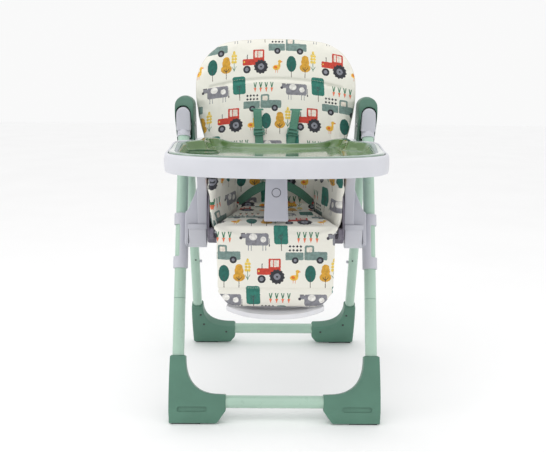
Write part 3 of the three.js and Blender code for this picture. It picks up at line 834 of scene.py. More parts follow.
def foot_outline(leg_x, outer_x, top, lean):
    along = 1 / math.cos(lean)
    socket = outer_x - leg_x
    points = [(FOOT_INNER, 33 * along), (180, -20 * along), (outer_x - 2, -20 * along)]
    points += curve_points((outer_x - 1, 20 * along), (outer_x + 1.5, 90 * along),
                           (outer_x - 1, top * along), 8)
    points += [(leg_x - socket + 1, top * along)]
    points += curve_points((leg_x - socket, (top - 18) * along), (leg_x - socket - 7, 82 * along),
                           (FOOT_INNER + 30, (CROSS_Z + 20) * along), 18)
    points += [(FOOT_INNER, (CROSS_Z + 19) * along)]
    return points


def cut(bm, point, normal):
    """Cuts away what lies on the normal's side of a plane, and closes the cut."""
    sliced = bmesh.ops.bisect_plane(bm, geom=bm.verts[:] + bm.edges[:] + bm.faces[:],
                                    plane_co=point, plane_no=normal, clear_outer=True)
    rim = [g for g in sliced["geom_cut"] if isinstance(g, bmesh.types.BMEdge)]
    bmesh.ops.contextual_create(bm, geom=rim)


def carved(bm, *cutters):
    """Takes each cutter's solid away from a piece."""
    def add(work):
        for i, cutter in enumerate(cutters):
            tool = linked(f"cutter_{i}", mesh_of("cutter", cutter))
            tools.append(tool)
            take = work.modifiers.new("take", "BOOLEAN")
            take.operation = "DIFFERENCE"
            take.solver = "EXACT"
            take.object = tool
    tools = []
    result = applied(bm, add)
    for tool in tools:
        bpy.data.objects.remove(tool)
    return result


def pill(x0, x1, z0, z1, y0, y1):
    """A bar with round ends, lying along x."""
    radius = (z1 - z0) / 2
    middle = (z0 + z1) / 2
    ends = []
    for centre, start in ((x1 - radius, -90), (x0 + radius, 90)):
        for step in range(13):
            angle = math.radians(start + step * 15)
            ends.append((centre + radius * math.cos(angle), middle + radius * math.sin(angle)))
    return plate(ends, (y0, y1), 0)


for kind, leg_x, outer_x, top, lean, placed in (
        ("front", FRONT_X, 301.5, 178, FRONT_LEAN, FRONT_FRAME),
        ("rear", REAR_X, 294.0, 165, REAR_LEAN, REAR_FRAME)):
    for side, sign in SIDES:
        bm = plate(mirrored(foot_outline(leg_x, outer_x, top, lean), sign), (-21, 21), 0,
                   frame_matrix=placed)
        cut(bm, (0, 0, 3 * MM), (0, 0, -1))
        if kind == "front":
            cut(bm, (0, -0.293, 0), (0, -1, 0))
        bmesh.ops.recalc_face_normals(bm, faces=bm.faces)
        bevel_sharp(bm, 7, 5, 30)
        if kind == "front":
            ends = sorted((sign * 192, sign * 277))
            slot = pill(*ends, 33, 48, -40, -17)
            bmesh.ops.transform(slot, matrix=placed, verts=slot.verts)
            bm = carved(bm, slot)
        new_piece(f"{kind}_boot_{side}", bm, FOOT_GREEN, f"{kind}_frame", "green_plastic",
                  f"{kind}_foot_{side}", angle=32)
        edged(f"{kind}_foot_pad_{side}", PAD_RUBBER, f"{kind}_frame", "rubber", 0.6)
print("feet done, pieces so far:", len(PIECES))

# %% [markdown]
# ## Screws and collars
# A cross-head screw holds each foot to its tube, and a thin collar closes the socket where the
# leg goes in.

# %% Screws, collars and inlays
def screw(radius, place):
    """A pan-head screw with a cross slot, its head facing -y."""
    bm = rod_of(radius, Matrix.Rotation(math.pi / 2, 4, "X"), 2.4, 28, radius * 0.9)
    bevel_sharp(bm, 0.5, 2)
    for turned in (0, math.pi / 2):
        bar = block((radius * 1.3, 3, radius * 0.28), Matrix.Rotation(turned, 4, "Y"))
        bmesh.ops.translate(bar, verts=bar.verts, vec=(0, -1.6 * MM, 0))
        bm = carved(bm, bar)
    bmesh.ops.transform(bm, matrix=place, verts=bm.verts)
    return bm


def ring_band(inner, outer, low, high, place, sides=48):
    """A band round a tube: one section, spun a full turn about z."""
    bm = bmesh.new()
    corners = [bm.verts.new((x * MM, 0, z * MM)) for x, z in
               ((inner, low), (outer, low), (outer, high), (inner, high))]
    bm.faces.new(corners)
    bmesh.ops.bevel(bm, geom=bm.verts[:], offset=0.6 * MM, offset_type="OFFSET", segments=3,
                    profile=0.5, affect="VERTICES", material=-1)
    bmesh.ops.spin(bm, geom=bm.verts[:] + bm.edges[:] + bm.faces[:], cent=(0, 0, 0), axis=(0, 0, 1),
                   angle=2 * math.pi, steps=sides, use_merge=True, use_duplicate=False)
    bmesh.ops.remove_doubles(bm, verts=bm.verts, dist=0.00001)
    inner_faces = [f for f in bm.faces if abs(f.calc_center_median().y) < 1e-7
                   and abs(f.normal.y) > 0.99]
    bmesh.ops.delete(bm, geom=inner_faces, context="FACES_ONLY")
    bmesh.ops.recalc_face_normals(bm, faces=bm.faces)
    bmesh.ops.transform(bm, matrix=place, verts=bm.verts)
    return bm


for side, sign in SIDES:
    for kind, leg_x, radius, top, lean, placed in (
            ("front", FRONT_X, 17.1, 178, FRONT_LEAN, FRONT_FRAME),
            ("rear", REAR_X, 16.1, 165, REAR_LEAN, REAR_FRAME)):
        here = placed @ at(sign * leg_x, 0, top / math.cos(lean))
        collar = ring_band(radius, radius + 3.2, -1.5, 1.6, here)
        new_piece(f"{kind}_socket_collar_{side}", collar, FOOT_GREEN, f"{kind}_frame",
                  "green_plastic")
    mark_place = FRONT_FRAME @ at(sign * FRONT_X, 0, 333 / math.cos(FRONT_LEAN))
    mark = ring_band(16.8, 17.25, -0.5, 0.5, mark_place)
    new_piece(f"front_leg_mark_{side}", mark, FOOT_GREEN, "front_frame", "green_plastic")
    rivet = REAR_FRAME @ at(sign * (REAR_X - 4), -15.6, 352 / math.cos(REAR_LEAN))
    new_piece(f"rear_leg_rivet_{side}", screw(3, rivet), DARK_STEEL, "rear_frame", "steel")
    for i, (x, z) in enumerate(((172, 62), (252, 96), (262, 140))):
        spot = REAR_FRAME @ at(sign * x, -21.4, z)
        new_piece(f"rear_foot_screw_{i}_{side}", screw(4, spot), DARK_STEEL, "rear_frame", "steel")
print("screws and collars done, pieces so far:", len(PIECES))

# %% [markdown]
# ## Hubs, sleeves, sliders and armrests
# These are thick mouldings with large rounded edges, so each is made from its measured solid
# with `moulded`, and small crisp controls with `edged`.

# %% Moulded carriers
def pill_up(x, half, low, high, y0, y1):
    """An upright bar with a round top, its front at y0."""
    top = [(x + half * math.cos(math.radians(a)), high - half + half * math.sin(math.radians(a)))
           for a in range(0, 181, 10)]
    return plate([(x - half, low), (x + half, low)] + top, (y0, y1), 0)


for side, sign in SIDES:
    window = pill_up(sign * FRONT_X, 23.2, 745, 881, -40, 58)
    moulded(f"hub_shell_{side}", HUB_GREEN, "rear_frame", "green_plastic", 1.8, 6, window)
    cover = pill_up(sign * FRONT_X, 21.2, 806, 877, 2.5, 36)
    bevel_sharp(cover, 5, 5)
    new_piece(f"front_leg_cover_{side}", cover, CARRIER_GREY, "front_frame", "grey_plastic")
    foot_ring = ring_band(17.2, 20.6, -2, 2, FRONT_FRAME @ Matrix.Translation(
        (sign * FRONT_X * MM, 0, PIVOT_S_FRONT - 46 * MM)))
    new_piece(f"front_leg_cover_ring_{side}", foot_ring, CARRIER_GREY, "front_frame", "grey_plastic")
    moulded(f"front_leg_socket_{side}", CARRIER_GREY, "front_frame", "grey_plastic", 1.3, 4)
    bore = rod_of(18.2, FRONT_FRAME @ at(sign * FRONT_X, 0, 560), 500)
    moulded(f"height_slider_{side}", CARRIER_GREY, "seat", "grey_plastic", 1.6, 6, bore)
    moulded(f"armrest_{side}", CARRIER_GREY, "seat", "grey_plastic", 2.0, 6)
    # The lever's lighter grey is painted light against the shade under the tray.
    moulded(f"height_lever_{side}", LEVER_GREY_LIT, f"height_lever_{side}", "dark_plastic", 1.2, 5)
    brow = plate(mirrored([(197.5, 538), (252.5, 538), (252.5, 553), (197.5, 553)], sign),
                 (-155.5, -151.6), 1.6, 4)
    new_piece(f"lever_brow_{side}", brow, CARRIER_GREY, "seat", "grey_plastic", angle=35)
    edged(f"tray_release_{side}", CARRIER_GREY, f"tray_release_{side}", "dark_plastic", 1.2, 3)
    edged(f"fold_button_{side}", CARRIER_GREY, f"fold_button_{side}", "grey_plastic", 1.2, 3)
    edged(f"leg_rest_button_{side}", SHELL_GREY, f"leg_rest_button_{side}", "grey_plastic", 1.0, 3)
    edged(f"hub_pin_{side}", STEEL, "front_frame", "steel", 0.6, 2)
    edged(f"tray_peg_{side}", CARRIER_GREY, "rear_frame", "grey_plastic", 0.6, 2)
button_bays = bmesh.new()
for side, sign in SIDES:
    bay_place = at(sign * 184, -222, 544) @ Matrix.Rotation(math.pi / 2, 4, "Y")
    merged(button_bays, rod_of(11.4, bay_place, 20, 32))
moulded("seat_shell", SHELL_GREY, "seat", "dark_plastic", 2.8, 4, button_bays)
moulded("leg_rest_panel", CARRIER_GREY, "leg_rest", "grey_plastic", 2.0, 3)
edged("recline_rod", STEEL, "seat", "steel", 0.6, 2)
edged("leg_rest_rod", STEEL, "seat", "steel", 0.5, 2)
edged("recline_lever", CARRIER_GREY, "recline_lever", "grey_plastic", 3.0, 4)
print("moulded pieces done, pieces so far:", len(PIECES))

# %% [markdown]
# ## The footrest
# A shallow step whose front edge bows out, with a stem that slides behind the calf pad.

# %% Footrest
step = [(-136, -212)] + curve_points((-138, -246), (-90, -276), (0, -276), 16)
step += curve_points((0, -276), (90, -276), (138, -246), 16)[1:] + [(136, -212)]
bm = extruded([(x, y, 307) for x, y in step], (0, 0, 15))
top_face = max(bm.faces, key=lambda f: f.calc_center_median().z)
bmesh.ops.inset_region(bm, faces=[top_face], thickness=9 * MM, depth=-2 * MM, use_even_offset=True)
bevel_sharp(bm, 2.2, 3, 30)
bm = remeshed(bm, 1.5, 2)
for vert in bm.verts:  # both ends curl up beside the calf pad
    vert.co.z += 16 * MM * min(1, abs(vert.co.x) / (138 * MM)) ** 2.5
stem = block((180, 6.4, 128), at(0, -209.2, 376))
bevel_sharp(stem, 1.5, 3)
merged(bm, stem)
new_piece("footrest_step", bm, STEP_GREY, "footrest", "grey_plastic", "footrest", angle=32)
print("footrest done")

# %% [markdown]
# ## The tray
# The tray is a wide shallow moulding: a smooth outer band, a rim that rises towards the child and
# a recess that the insert drops into. It is lofted: loops of the same outline, each at its own
# inset and height, are bridged one to the next.

# %% Tray outline
TRAY_HALF = 300.0
TRAY_ARM = 243.0
TRAY_FRONT = -421.1
RIM_LIFT = 12.0


def ease(value, low, high):
    """From 0 at low to 1 at high, starting and ending softly."""
    share = min(1, max(0, (value - low) / (high - low)))
    return share * share * (3 - 2 * share)


def raised(loop, z, lift):
    """The loop at height z; lift is how much it follows the rim up to the two rear corners."""
    return [Vector((x, y, z + lift * RIM_LIFT * ease(y, -250, -70) * ease(abs(x), 115, 215))) * MM
            for x, y in loop]


def tray_loop(inset, z, lift=0.0):
    """One loop of the tray's outline (mm), inset from its edge; lift says how much the loop
    follows the rim's rise towards the child."""
    half = TRAY_HALF - inset
    arm = TRAY_ARM - inset
    front = TRAY_FRONT + inset
    shoulder = -44 - inset
    back = 34 - inset
    waist = -40 - inset
    side = bezier_points((0, front), (half * 0.62, front), (half, front + 45), (half, -265), 26)
    side += bezier_points((half, -265), (half, -220), (half, -175), (half, -130), 6)[1:]
    side += bezier_points((half, -130), (half, shoulder - 14), (arm + 30, shoulder),
                          (arm, shoulder), 14)[1:]
    side += bezier_points((arm, shoulder), (arm, shoulder + 18), (arm, back - 42),
                          (arm, back - 24), 4)[1:]
    side += bezier_points((arm, back - 24), (arm, back - 8), (arm - 8, back), (arm - 24, back), 8)[1:]
    side += bezier_points((arm - 24, back), (150, back), (130, waist), (0, waist), 20)[1:]
    return raised(side + [(-x, y) for x, y in reversed(side[1:-1])], z, lift)


def loft(loops):
    """Bridges each loop to the next, and closes the first and the last with a face."""
    bm = bmesh.new()
    depth = bm.verts.layers.float.new("depth")
    rings = []
    for loop, depth_and_sheen in loops:
        verts = [bm.verts.new(point) for point in loop]
        for vert in verts:
            vert[depth] = depth_and_sheen
        rings.append([bm.edges.new((verts[i], verts[(i + 1) % len(verts)]))
                      for i in range(len(verts))])
    for first, second in zip(rings, rings[1:]):
        bmesh.ops.bridge_loops(bm, edges=first + second)
    for ring in (rings[0], rings[-1]):
        bmesh.ops.contextual_create(bm, geom=ring)
    bmesh.ops.recalc_face_normals(bm, faces=bm.faces)
    return bm


# %% Tray band and recess
band = [(9, 738, 0), (8, 727, 0), (6.5, 722.5, 0), (4, 721, 0), (1.6, 722.4, 0), (0.4, 726, 0),
        (-0.4, 735, 0), (-0.6, 745, 0), (-0.3, 755, 0.3), (0.2, 764, 0.8), (1.2, 768.5, 1), (3.2, 771.4, 1),
        (6, 772.4, 1), (8.8, 771.6, 1), (10.4, 769, 1), (10.9, 764, 0.8), (11.4, 760, 0.2), (13, 758, 0)]
bm = loft([(tray_loop(inset, z, lift), 0.0) for inset, z, lift in band])
for sign in (1, -1):
    bm = carved(bm, block((25, 40, 14), at(sign * 297.5, -242, 748)))
new_piece("tray_body", bm, TRAY_GREY, "tray", "grey_plastic", "tray")
print("tray loops:", len(band))

# %% [markdown]
# ## The lift-off insert
# The insert has a flange that lies on the tray's rim, a steep wall and a flat dish, with a round
# recess for a cup in one corner.

# %% Insert
CUP = (-207, -170)


def insert_loop(inset, z, lift, narrow):
    """A loop of the insert's outline (mm). It cuts the tray's rear corners short, and narrow
    draws its sides in."""
    half = TRAY_HALF - inset - narrow
    front = TRAY_FRONT + inset
    corner = (TRAY_ARM - inset - narrow * 0.8, -56 - inset * 0.9)
    shoulder = (196 - inset * 0.95, 27 - inset)
    bend = shoulder[0] + 0.62 * (corner[0] - shoulder[0])
    side = bezier_points((0, front), (half * 0.62, front), (half, front + 45), (half, -265), 26)
    side += bezier_points((half, -265), (half, -230), (half, -195), (half, -160), 6)[1:]
    side += bezier_points((half, -160), (half, -100), (corner[0], corner[1] - 34), corner, 16)[1:]
    side += bezier_points(corner, (corner[0], corner[1] + 46), (bend, shoulder[1]), shoulder, 18)[1:]
    side += bezier_points(shoulder, (150, shoulder[1]), (132, -41 - inset), (0, -41 - inset), 24)[1:]
    return raised(side + [(-x, y) for x, y in reversed(side[1:-1])], z, lift)


# The dish floor and walls get 0.6 to 0.75 rather than full olive: painted reflection that keeps them paler.
insert = [(13.4, 758.6, 0, 0.9, 0), (13.2, 768, 0.9, 0.6, 0), (12.6, 773.2, 1, 0.1, 0),
          (13.4, 775.6, 1, 0.0, 0), (16, 776.6, 1, 0.0, 1), (21, 776.2, 1, 0.0, 8),
          (24, 774.4, 1, 0.2, 13), (25.5, 770.5, 0.9, 0.6, 15), (27.5, 766, 0.6, 0.75, 16),
          (30.5, 762.8, 0.2, 0.7, 17), (35, 761.4, 0, 0.6, 18), (42, 761, 0, 0.6, 18)]
bm = loft([(insert_loop(inset, z, lift, narrow), depth_and_sheen) for inset, z, lift, depth_and_sheen, narrow in insert])
depth_and_sheen_layer = bm.verts.layers.float["depth"]
# The back wall turns full olive, while the rest of the dish stays paler as painted reflection.
for vert in bm.verts:
    if vert.co.y > -0.13 and 0.763 < vert.co.z and vert[depth_and_sheen_layer] > 0.15:
        vert[depth_and_sheen_layer] = 1.0
cup = rod_of(40, at(*CUP, 763.4), 8, 64, 44)
bevel_sharp(cup, 2.0, 3)
bm = carved(bm, cup)
new_piece("insert_dish", bm, BOTTLE_GREEN, "tray_insert", "clear_green", "tray_insert")
cup_place = at(*CUP, 761.2)
mat = rod_of(42.4, cup_place, 1.6, 64, 41.6)
bevel_sharp(mat, 0.5, 3)
cup_ring = ring_band(43.2, 48.5, -0.6, 3.4, cup_place, 64)
for name, bm, depth in (("floor", mat, 2.0), ("ring", cup_ring, 1.5)):
    layer = bm.verts.layers.float.new("depth")
    for vert in bm.verts:
        vert[layer] = depth
    new_piece(f"insert_cup_{name}", bm, BOTTLE_GREEN, "tray_insert", "clear_green")
print("insert done")

# %% [markdown]
# ## The crotch post
# The post hangs from the tray between the child's legs. It widens downwards, and a plain raised
# ring is the only thing on it.

# %% Post
outline = [(-29, 737.6)] + curve_points((-29.5, 700), (-31, 640), (-34, 581), 10)
outline += [(-31.5, 577), (31.5, 577)] + curve_points((34, 581), (31, 640), (29.5, 700), 10)
bm = plate(outline + [(29, 737.6)], (-236, -208), 2.6, 4)
# The post's darker grey is painted shade from the tray above it.
new_piece("crotch_post_body", bm, POST_GREY_SHADED, "tray", "grey_plastic", "crotch_post", angle=30)
ring_place = at(0, -236, 658) @ Matrix.Rotation(math.pi / 2, 4, "X")
badge = ring_band(11.0, 12.9, -0.6, 1.0, ring_place, 48)
new_piece("crotch_post_ring", badge, INK_GREY, "tray", "dark_plastic")
print("post done")

# %% [markdown]
# ## Stuffed cushions
# A cushion is a closed cover that stuffing pushes outwards. The recipe: start from a solid of the cushion's
# outline, remesh it evenly, and let a cloth simulation with inner pressure blow it up for a moment. The
# sewing comes afterwards: a seam pulls the cover in along a line.

# %% The cushion recipe
def stuffed(bm, voxel=6.0, pressure=4.0, cap=9.0, frames=20):
    """The bmesh of a cushion after pressure has filled it, moved at most cap mm."""
    bm = remeshed(bm, voxel, 2)
    mesh = bpy.data.meshes.new("cushion")
    bm.to_mesh(mesh)
    before = np.array([v.co for v in mesh.vertices])
    work = linked("cushion", mesh)
    cloth = work.modifiers.new("cloth", "CLOTH")
    cloth.settings.use_pressure = True
    cloth.settings.uniform_pressure_force = pressure
    cloth.settings.effector_weights.gravity = 0
    cloth.settings.tension_stiffness = 18
    cloth.settings.compression_stiffness = 18
    cloth.settings.bending_stiffness = 0.6
    cloth.point_cache.frame_start = 1
    cloth.point_cache.frame_end = frames
    for number in range(1, frames + 1):
        bpy.context.scene.frame_set(number)
    graph = bpy.context.evaluated_depsgraph_get()
    blown = work.evaluated_get(graph).to_mesh()
    after = np.array([v.co for v in blown.vertices])
    work.evaluated_get(graph).to_mesh_clear()
    bpy.context.scene.frame_set(1)
    bpy.data.objects.remove(work)
    after -= (after - before).mean(0)
    move = after - before
    length = np.linalg.norm(move, axis=1, keepdims=True)
    move *= np.minimum(1, cap * MM / np.maximum(length, 1e-9))
    bm.verts.ensure_lookup_table()
    for vert, step in zip(bm.verts, move):
        vert.co += Vector(step)
    bpy.data.meshes.remove(mesh)
    print("  cushion with", len(bm.verts), "points, largest move", round(float(length.max()) * 1000, 1))
    return bm


def fitted(bm, low, high, keep=()):
    """Stretches a cushion so that its box has these corners (mm); axes in keep stay as they are."""
    points = np.array([v.co for v in bm.verts])
    now_low, now_high = points.min(0), points.max(0)
    for axis in (0, 1, 2):
        if axis in keep:
            continue
        scale = (high[axis] - low[axis]) * MM / (now_high[axis] - now_low[axis])
        for vert in bm.verts:
            vert.co[axis] = low[axis] * MM + (vert.co[axis] - now_low[axis]) * scale
    return bm


def finer(bm):
    """One round of subdivision."""
    def add(work):
        smooth = work.modifiers.new("smooth", "SUBSURF")
        smooth.levels = 1
        smooth.render_levels = 1
    return applied(bm, add)


def sew(bm, depth_at):
    """Pulls the cover in by depth_at(point) along its normal (metres), for seams and creases."""
    bm.normal_update()
    moves = [(vert, vert.normal * depth_at(vert.co)) for vert in bm.verts]
    for vert, step in moves:
        vert.co -= step


def lay_cloth(bm, across_and_along):
    """Gives every face corner its place on the cloth, in metres."""
    layer = bm.loops.layers.uv.new("cloth")
    for face in bm.faces:
        for loop in face.loops:
            loop[layer].uv = across_and_along(loop.vert.co, face.normal)


def groove(distance, depth, width):
    return depth * MM * math.exp(-(distance / (width * MM)) ** 2)


def crumple(point, size, height, seed):
    """A soft random wave, the same on every run."""
    return height * MM * noise.noise(Vector(point) / (size * MM) + Vector((seed, 0, 0)))


# %% [markdown]
# ## The backrest cushion
# The tall back cushion is widest at the child's head and narrows to the hips. A curved seam runs
# under the head panel, two more set off the side bolsters, and piping follows its front edge.

# %% Backrest cushion
BACK_LENGTH = 515
BACK_THICK = 42


def back_outline(inset=0.0, low=22.0, count=10):
    top = BACK_LENGTH - inset
    points = [(0, low), (150 - inset, low)]
    points += curve_points((150 - inset, low), (188 - inset, low), (190 - inset, 90), count)[1:]
    points += curve_points((194 - inset, 150), (213 - inset, 185), (218 - inset, 225), count)
    points += curve_points((218 - inset, 225), (243 - inset, 310), (241 - inset, 372), count)[1:]
    points += bezier_points((241 - inset, 372), (241 - inset, 425), (215 - inset, top - 38),
                            (150 - inset, top - 14), count + 4)[1:]
    points += curve_points((150 - inset, top - 14), (90, top), (0, top), count)[1:]
    return points + [(-x, z) for x, z in reversed(points[1:-1])]


back_inverse = BACK_FRAME.inverted()


def back_seams(point):
    local = back_inverse @ point
    if local.y > -20 * MM:
        return crumple(point, 60, 0.8, 3)
    x, z = abs(local.x), local.z
    head = 398 * MM - 26 * MM * (x / 0.2) ** 2
    depth = groove(z - head, 4.0, 5.0) if x < 0.205 else 0
    bolster = 0.150 + 0.022 * math.sin(min(1, max(0, (z - 0.05) / 0.4)) * math.pi)
    if z < head:
        depth += groove(x - bolster, 3.4, 6.0)
    depth += crumple(point, 45, 1.3, 1) + crumple(point, 18, 0.5, 2)
    return depth


bm = plate(back_outline(-3, 22), (-BACK_THICK + 6, -5), 0, frame_matrix=BACK_FRAME)
bm = finer(stuffed(bm, 6.0, 4.0, 8.0))
bm = fitted(bm, (-245, 0, 581), (244, 0, 1080), keep=(1,))
sew(bm, back_seams)


def back_cloth(point, normal):
    local = back_inverse @ point
    return (local.x + 0.063, local.z - 0.4506 + 0.4 * local.x ** 2)


lay_cloth(bm, back_cloth)
back_cushion = new_piece("backrest_cushion", bm, PRINTED, "backrest", "printed_cloth",
                         "backrest_pad", angle=0)
print("backrest cushion:", len(back_cushion.data.polygons), "faces")

# %% [markdown]
# ## The seat and calf cushion
# One cushion covers the seat and hangs over its front edge down to the child's calves. It is
# stitched across near its lower end. The leg rest lifts, so this piece bends between two bodies.

# %% Seat and calf cushion
TAPER = 56 / 225


def seat_half(y):
    return 169 - (y + 215) * TAPER


top_view = [(-seat_half(-240), -240), (seat_half(-240), -240), (seat_half(46), 46), (-seat_half(46), 46)]
bm = extruded([(x, y, 552) for x, y in top_view], (0, 0, 17))
calf = [(170, 566), (170, 470), (168, 374), (146, 342)]
calf += curve_points((146, 342), (130, 327), (90, 327), 6)[1:]
calf = calf + [(-x, z) for x, z in reversed(calf)]
merged(bm, plate(calf, (-241, -226), 0))


def seat_seams(point):
    if point.y < -0.222:
        depth = groove(point.z - 0.384, 3.2, 4.0)
        depth += groove(point.z - 0.536, 1.2, 6.0)
    else:
        depth = groove(point.y + 0.205, 1.2, 6.0) if point.z > 0.56 else 0
    return depth + crumple(point, 40, 0.9, 5) + crumple(point, 16, 0.4, 6)


bm = finer(stuffed(bm, 5.0, 3.0, 4.0))
bm = fitted(bm, (-171, -248, 334), (171, 47, 574.5))
sew(bm, seat_seams)


def seat_cloth(point, normal):
    return (point.x + 0.012, point.z - 0.437 + max(0.0, point.y + 0.238))


lay_cloth(bm, seat_cloth)
seat_cushion = new_piece("seat_cushion", bm, PRINTED, None, "printed_cloth", "seat_pad",
                         "calf_pad", angle=0)
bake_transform(seat_cushion, "seat", "leg_rest", start=(0, -0.214, 0.575), end=(0, -0.242, 0.528))
print("seat cushion:", len(seat_cushion.data.polygons), "faces")

# %% [markdown]
# ## The crease
# The cover runs on from the seat into the backrest, so a soft roll fills the crease. It follows
# the seat below and the backrest above when the backrest reclines.

# %% Crease roll
section = ((16, 560), (54, 556), (76, 566), (74, 590), (58, 604), (40, 596), (24, 578))
bm = extruded([(-150, y, z) for y, z in section], (300, 0, 0))
bm = finer(remeshed(bm, 4.5, 6))
sew(bm, lambda p: crumple(p, 30, 1.6, 11))
lay_cloth(bm, lambda p, n: (p.x + 0.012, p.z + p.y - 0.27))
crease = new_piece("crease_roll", bm, PRINTED, None, "printed_cloth", angle=0)
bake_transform(crease, "seat", "backrest", start=(0, 0.035, 0.566), end=(0, 0.055, 0.602))
print("crease roll:", len(crease.data.polygons), "faces")

# %% [markdown]
# ## The side cushions
# A soft wing stands on each side of the seat, wide at the back and narrow at the front.

# %% Side cushions
for side, sign in SIDES:
    corners = [(seat_half(-202) + 6, -202), (183, -203), (187, -188), (187, 13),
               (seat_half(13) + 4, 13)]
    bm = extruded([(sign * x, y, 550) for x, y in corners], (0, 0, 146))
    bm = finer(stuffed(bm, 4.5, 2.0, 3.0, 12))
    for vert in bm.verts:
        height = (vert.co.z - 0.55) / 0.146
        lean = 6 * math.sin(math.pi * min(1, max(0, height))) - 7 * (1 - height) ** 2
        vert.co.x += sign * lean * MM * min(1, max(0, (-vert.co.y - 0.02) / 0.15))
    sew(bm, lambda p: groove(p.z - 0.672, 2.0, 4.0) + crumple(p, 38, 2.6, 8) + crumple(p, 14, 0.6, 9))
    lay_cloth(bm, lambda p, n: (0.9 * p.y + sign * p.x * 0.45 + 0.05 * sign, p.z - 0.52))
    for vert in bm.verts:  # flat against the shell's wall, and free above it
        room = (185.4 + 8 * max(0, (vert.co.z - 0.642) / 0.02)) * MM
        vert.co.x = sign * min(sign * vert.co.x, room)
    wing = new_piece(f"side_cushion_{side}", bm, PRINTED, "seat", "printed_cloth",
                     f"side_pad_{side}", angle=0)
print("side cushions done")

# %% [markdown]
# ## The backrest shell
# Behind the cushion is a moulded shell with a sunken field, which stiffens it.

# %% Backrest shell
bm = plate(back_outline(9, 14), (0.4, 16), 0)
rear_face = max(bm.faces, key=lambda f: f.calc_center_median().y * f.calc_area())
bmesh.ops.inset_region(bm, faces=[rear_face], thickness=22 * MM, depth=0, use_even_offset=True)
bmesh.ops.inset_region(bm, faces=[rear_face], thickness=3 * MM, depth=-4 * MM, use_even_offset=True)
bevel_sharp(bm, 2.0, 3, 30)
bmesh.ops.transform(bm, matrix=BACK_FRAME, verts=bm.verts)
bm = carved(bm, block((96, 20, 40), BACK_FRAME @ at(0, 20, 346)))
new_piece("backrest_shell_body", bm, SHELL_GREY, "backrest", "dark_plastic", "backrest_shell", angle=32)
print("backrest shell done")

# %% [markdown]
# ## The harness
# Flat webbing is modelled directly. A strap is a rectangle that is swept along its route: the
# cross-section is extruded from point to point, staying square to the route.

# %% Straps
STRAP_WIDTH = 25
STRAP_THICK = 1.6
STRAP_STEPS = 6


def smooth_route(points, steps=7):
    """A smooth route through the given points (mm)."""
    points = [Vector(p) for p in points]
    padded_points = [points[0] * 2 - points[1]] + points + [points[-1] * 2 - points[-2]]
    route = []
    for i in range(1, len(padded_points) - 2):
        p0, p1, p2, p3 = padded_points[i - 1:i + 3]
        for k in range(steps):
            t = k / steps
            route.append(0.5 * ((2 * p1) + (p2 - p0) * t + (2 * p0 - 5 * p1 + 4 * p2 - p3) * t * t
                                + (3 * p1 - p0 - 3 * p2 + p3) * t ** 3))
    return route + [points[-1]]


def strap(route, facing):
    """Webbing along a route (mm); facing gives the way its flat side looks at each end."""
    bm = bmesh.new()
    uv = bm.loops.layers.uv.new("cloth")
    across_share = bm.verts.layers.float.new("across")
    along = bm.verts.layers.float.new("along")
    rings = []
    travelled = 0.0
    for i, point in enumerate(route):
        ahead_way = (route[min(i + 1, len(route) - 1)] - route[max(i - 1, 0)]).normalized()
        share = i / (len(route) - 1)
        normal = Vector(facing[0]).lerp(Vector(facing[1]), share)
        normal = (normal - ahead_way * normal.dot(ahead_way)).normalized()
        sideways = ahead_way.cross(normal).normalized()
        if i:
            travelled += (point - route[i - 1]).length
        section = []
        for level_sign in (1, -1):
            order = range(STRAP_STEPS + 1) if level_sign > 0 else range(STRAP_STEPS, -1, -1)
            for k in order:
                part = k / STRAP_STEPS
                edge = 1 - 0.35 * (abs(part - 0.5) * 2) ** 6
                place = (point + sideways * (part - 0.5) * STRAP_WIDTH
                         + normal * level_sign * STRAP_THICK / 2 * edge)
                vert = bm.verts.new(place * MM)
                vert[across_share] = part
                vert[along] = travelled * MM
                section.append(vert)
        rings.append([bm.edges.new((section[k], section[(k + 1) % len(section)]))
                      for k in range(len(section))])
    for first, second in zip(rings, rings[1:]):
        bmesh.ops.bridge_loops(bm, edges=first + second)
    for ring in (rings[0], rings[-1]):
        bmesh.ops.contextual_create(bm, geom=ring)
    bmesh.ops.recalc_face_normals(bm, faces=bm.faces)
    for face in bm.faces:
        for loop in face.loops:
            loop[uv].uv = (loop.vert[across_share], loop.vert[along])
    return bm


STRAP_ACROSS = {"left": (62, 61.5, 58.5, 51, 43, 37), "right": (57.5, 57.5, 56, 52.5, 49, 45)}


def on_back(x, y, z):
    """A point (mm) given in the backrest's own leaning frame."""
    return (BACK_FRAME @ (Vector((x, y, z)) * MM)) * 1000


for side, sign in SIDES:
    front = -BACK_THICK - 1
    places = zip(STRAP_ACROSS[side], (14, -2.5, -4.5, -4.5, -4, -4), (309, 303, 282, 235, 180, 130))
    upper = [on_back(sign * across, front + proud, height) for across, proud, height in places]
    lower = [Vector((sign * 42, 12, 668)), Vector((sign * 31, -24, 668)), Vector((sign * 20, -54, 668))]
    route = smooth_route(upper + lower)
    facing = (BACK_FRAME.to_3x3() @ Vector((0, -1, 0)), Vector((0, -0.35, 0.9)))
    shoulder = new_piece(f"shoulder_webbing_{side}", strap(route, facing), WEBBING, None, "webbing",
                         f"shoulder_strap_{side}", angle=50)
    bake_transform(shoulder, "backrest", "seat", start=on_back(0, -46, 120) * MM, end=(0, -0.05, 0.668))
    waist = smooth_route([Vector((sign * 112, 6, 592)), Vector((sign * 100, -6, 602)),
                          Vector((sign * 74, -30, 626)), Vector((sign * 44, -52, 646)),
                          Vector((sign * 22, -57, 652))])
    new_piece(f"waist_webbing_{side}", strap(waist, ((0, -0.8, 0.5), (0, -1, 0.2))), WEBBING, "seat",
              "webbing", f"waist_strap_{side}", angle=50)
crotch = smooth_route([Vector((0, -116, 574)), Vector((0, -108, 582)), Vector((0, -84, 604)),
                       Vector((0, -62, 624)), Vector((0, -58, 634))])
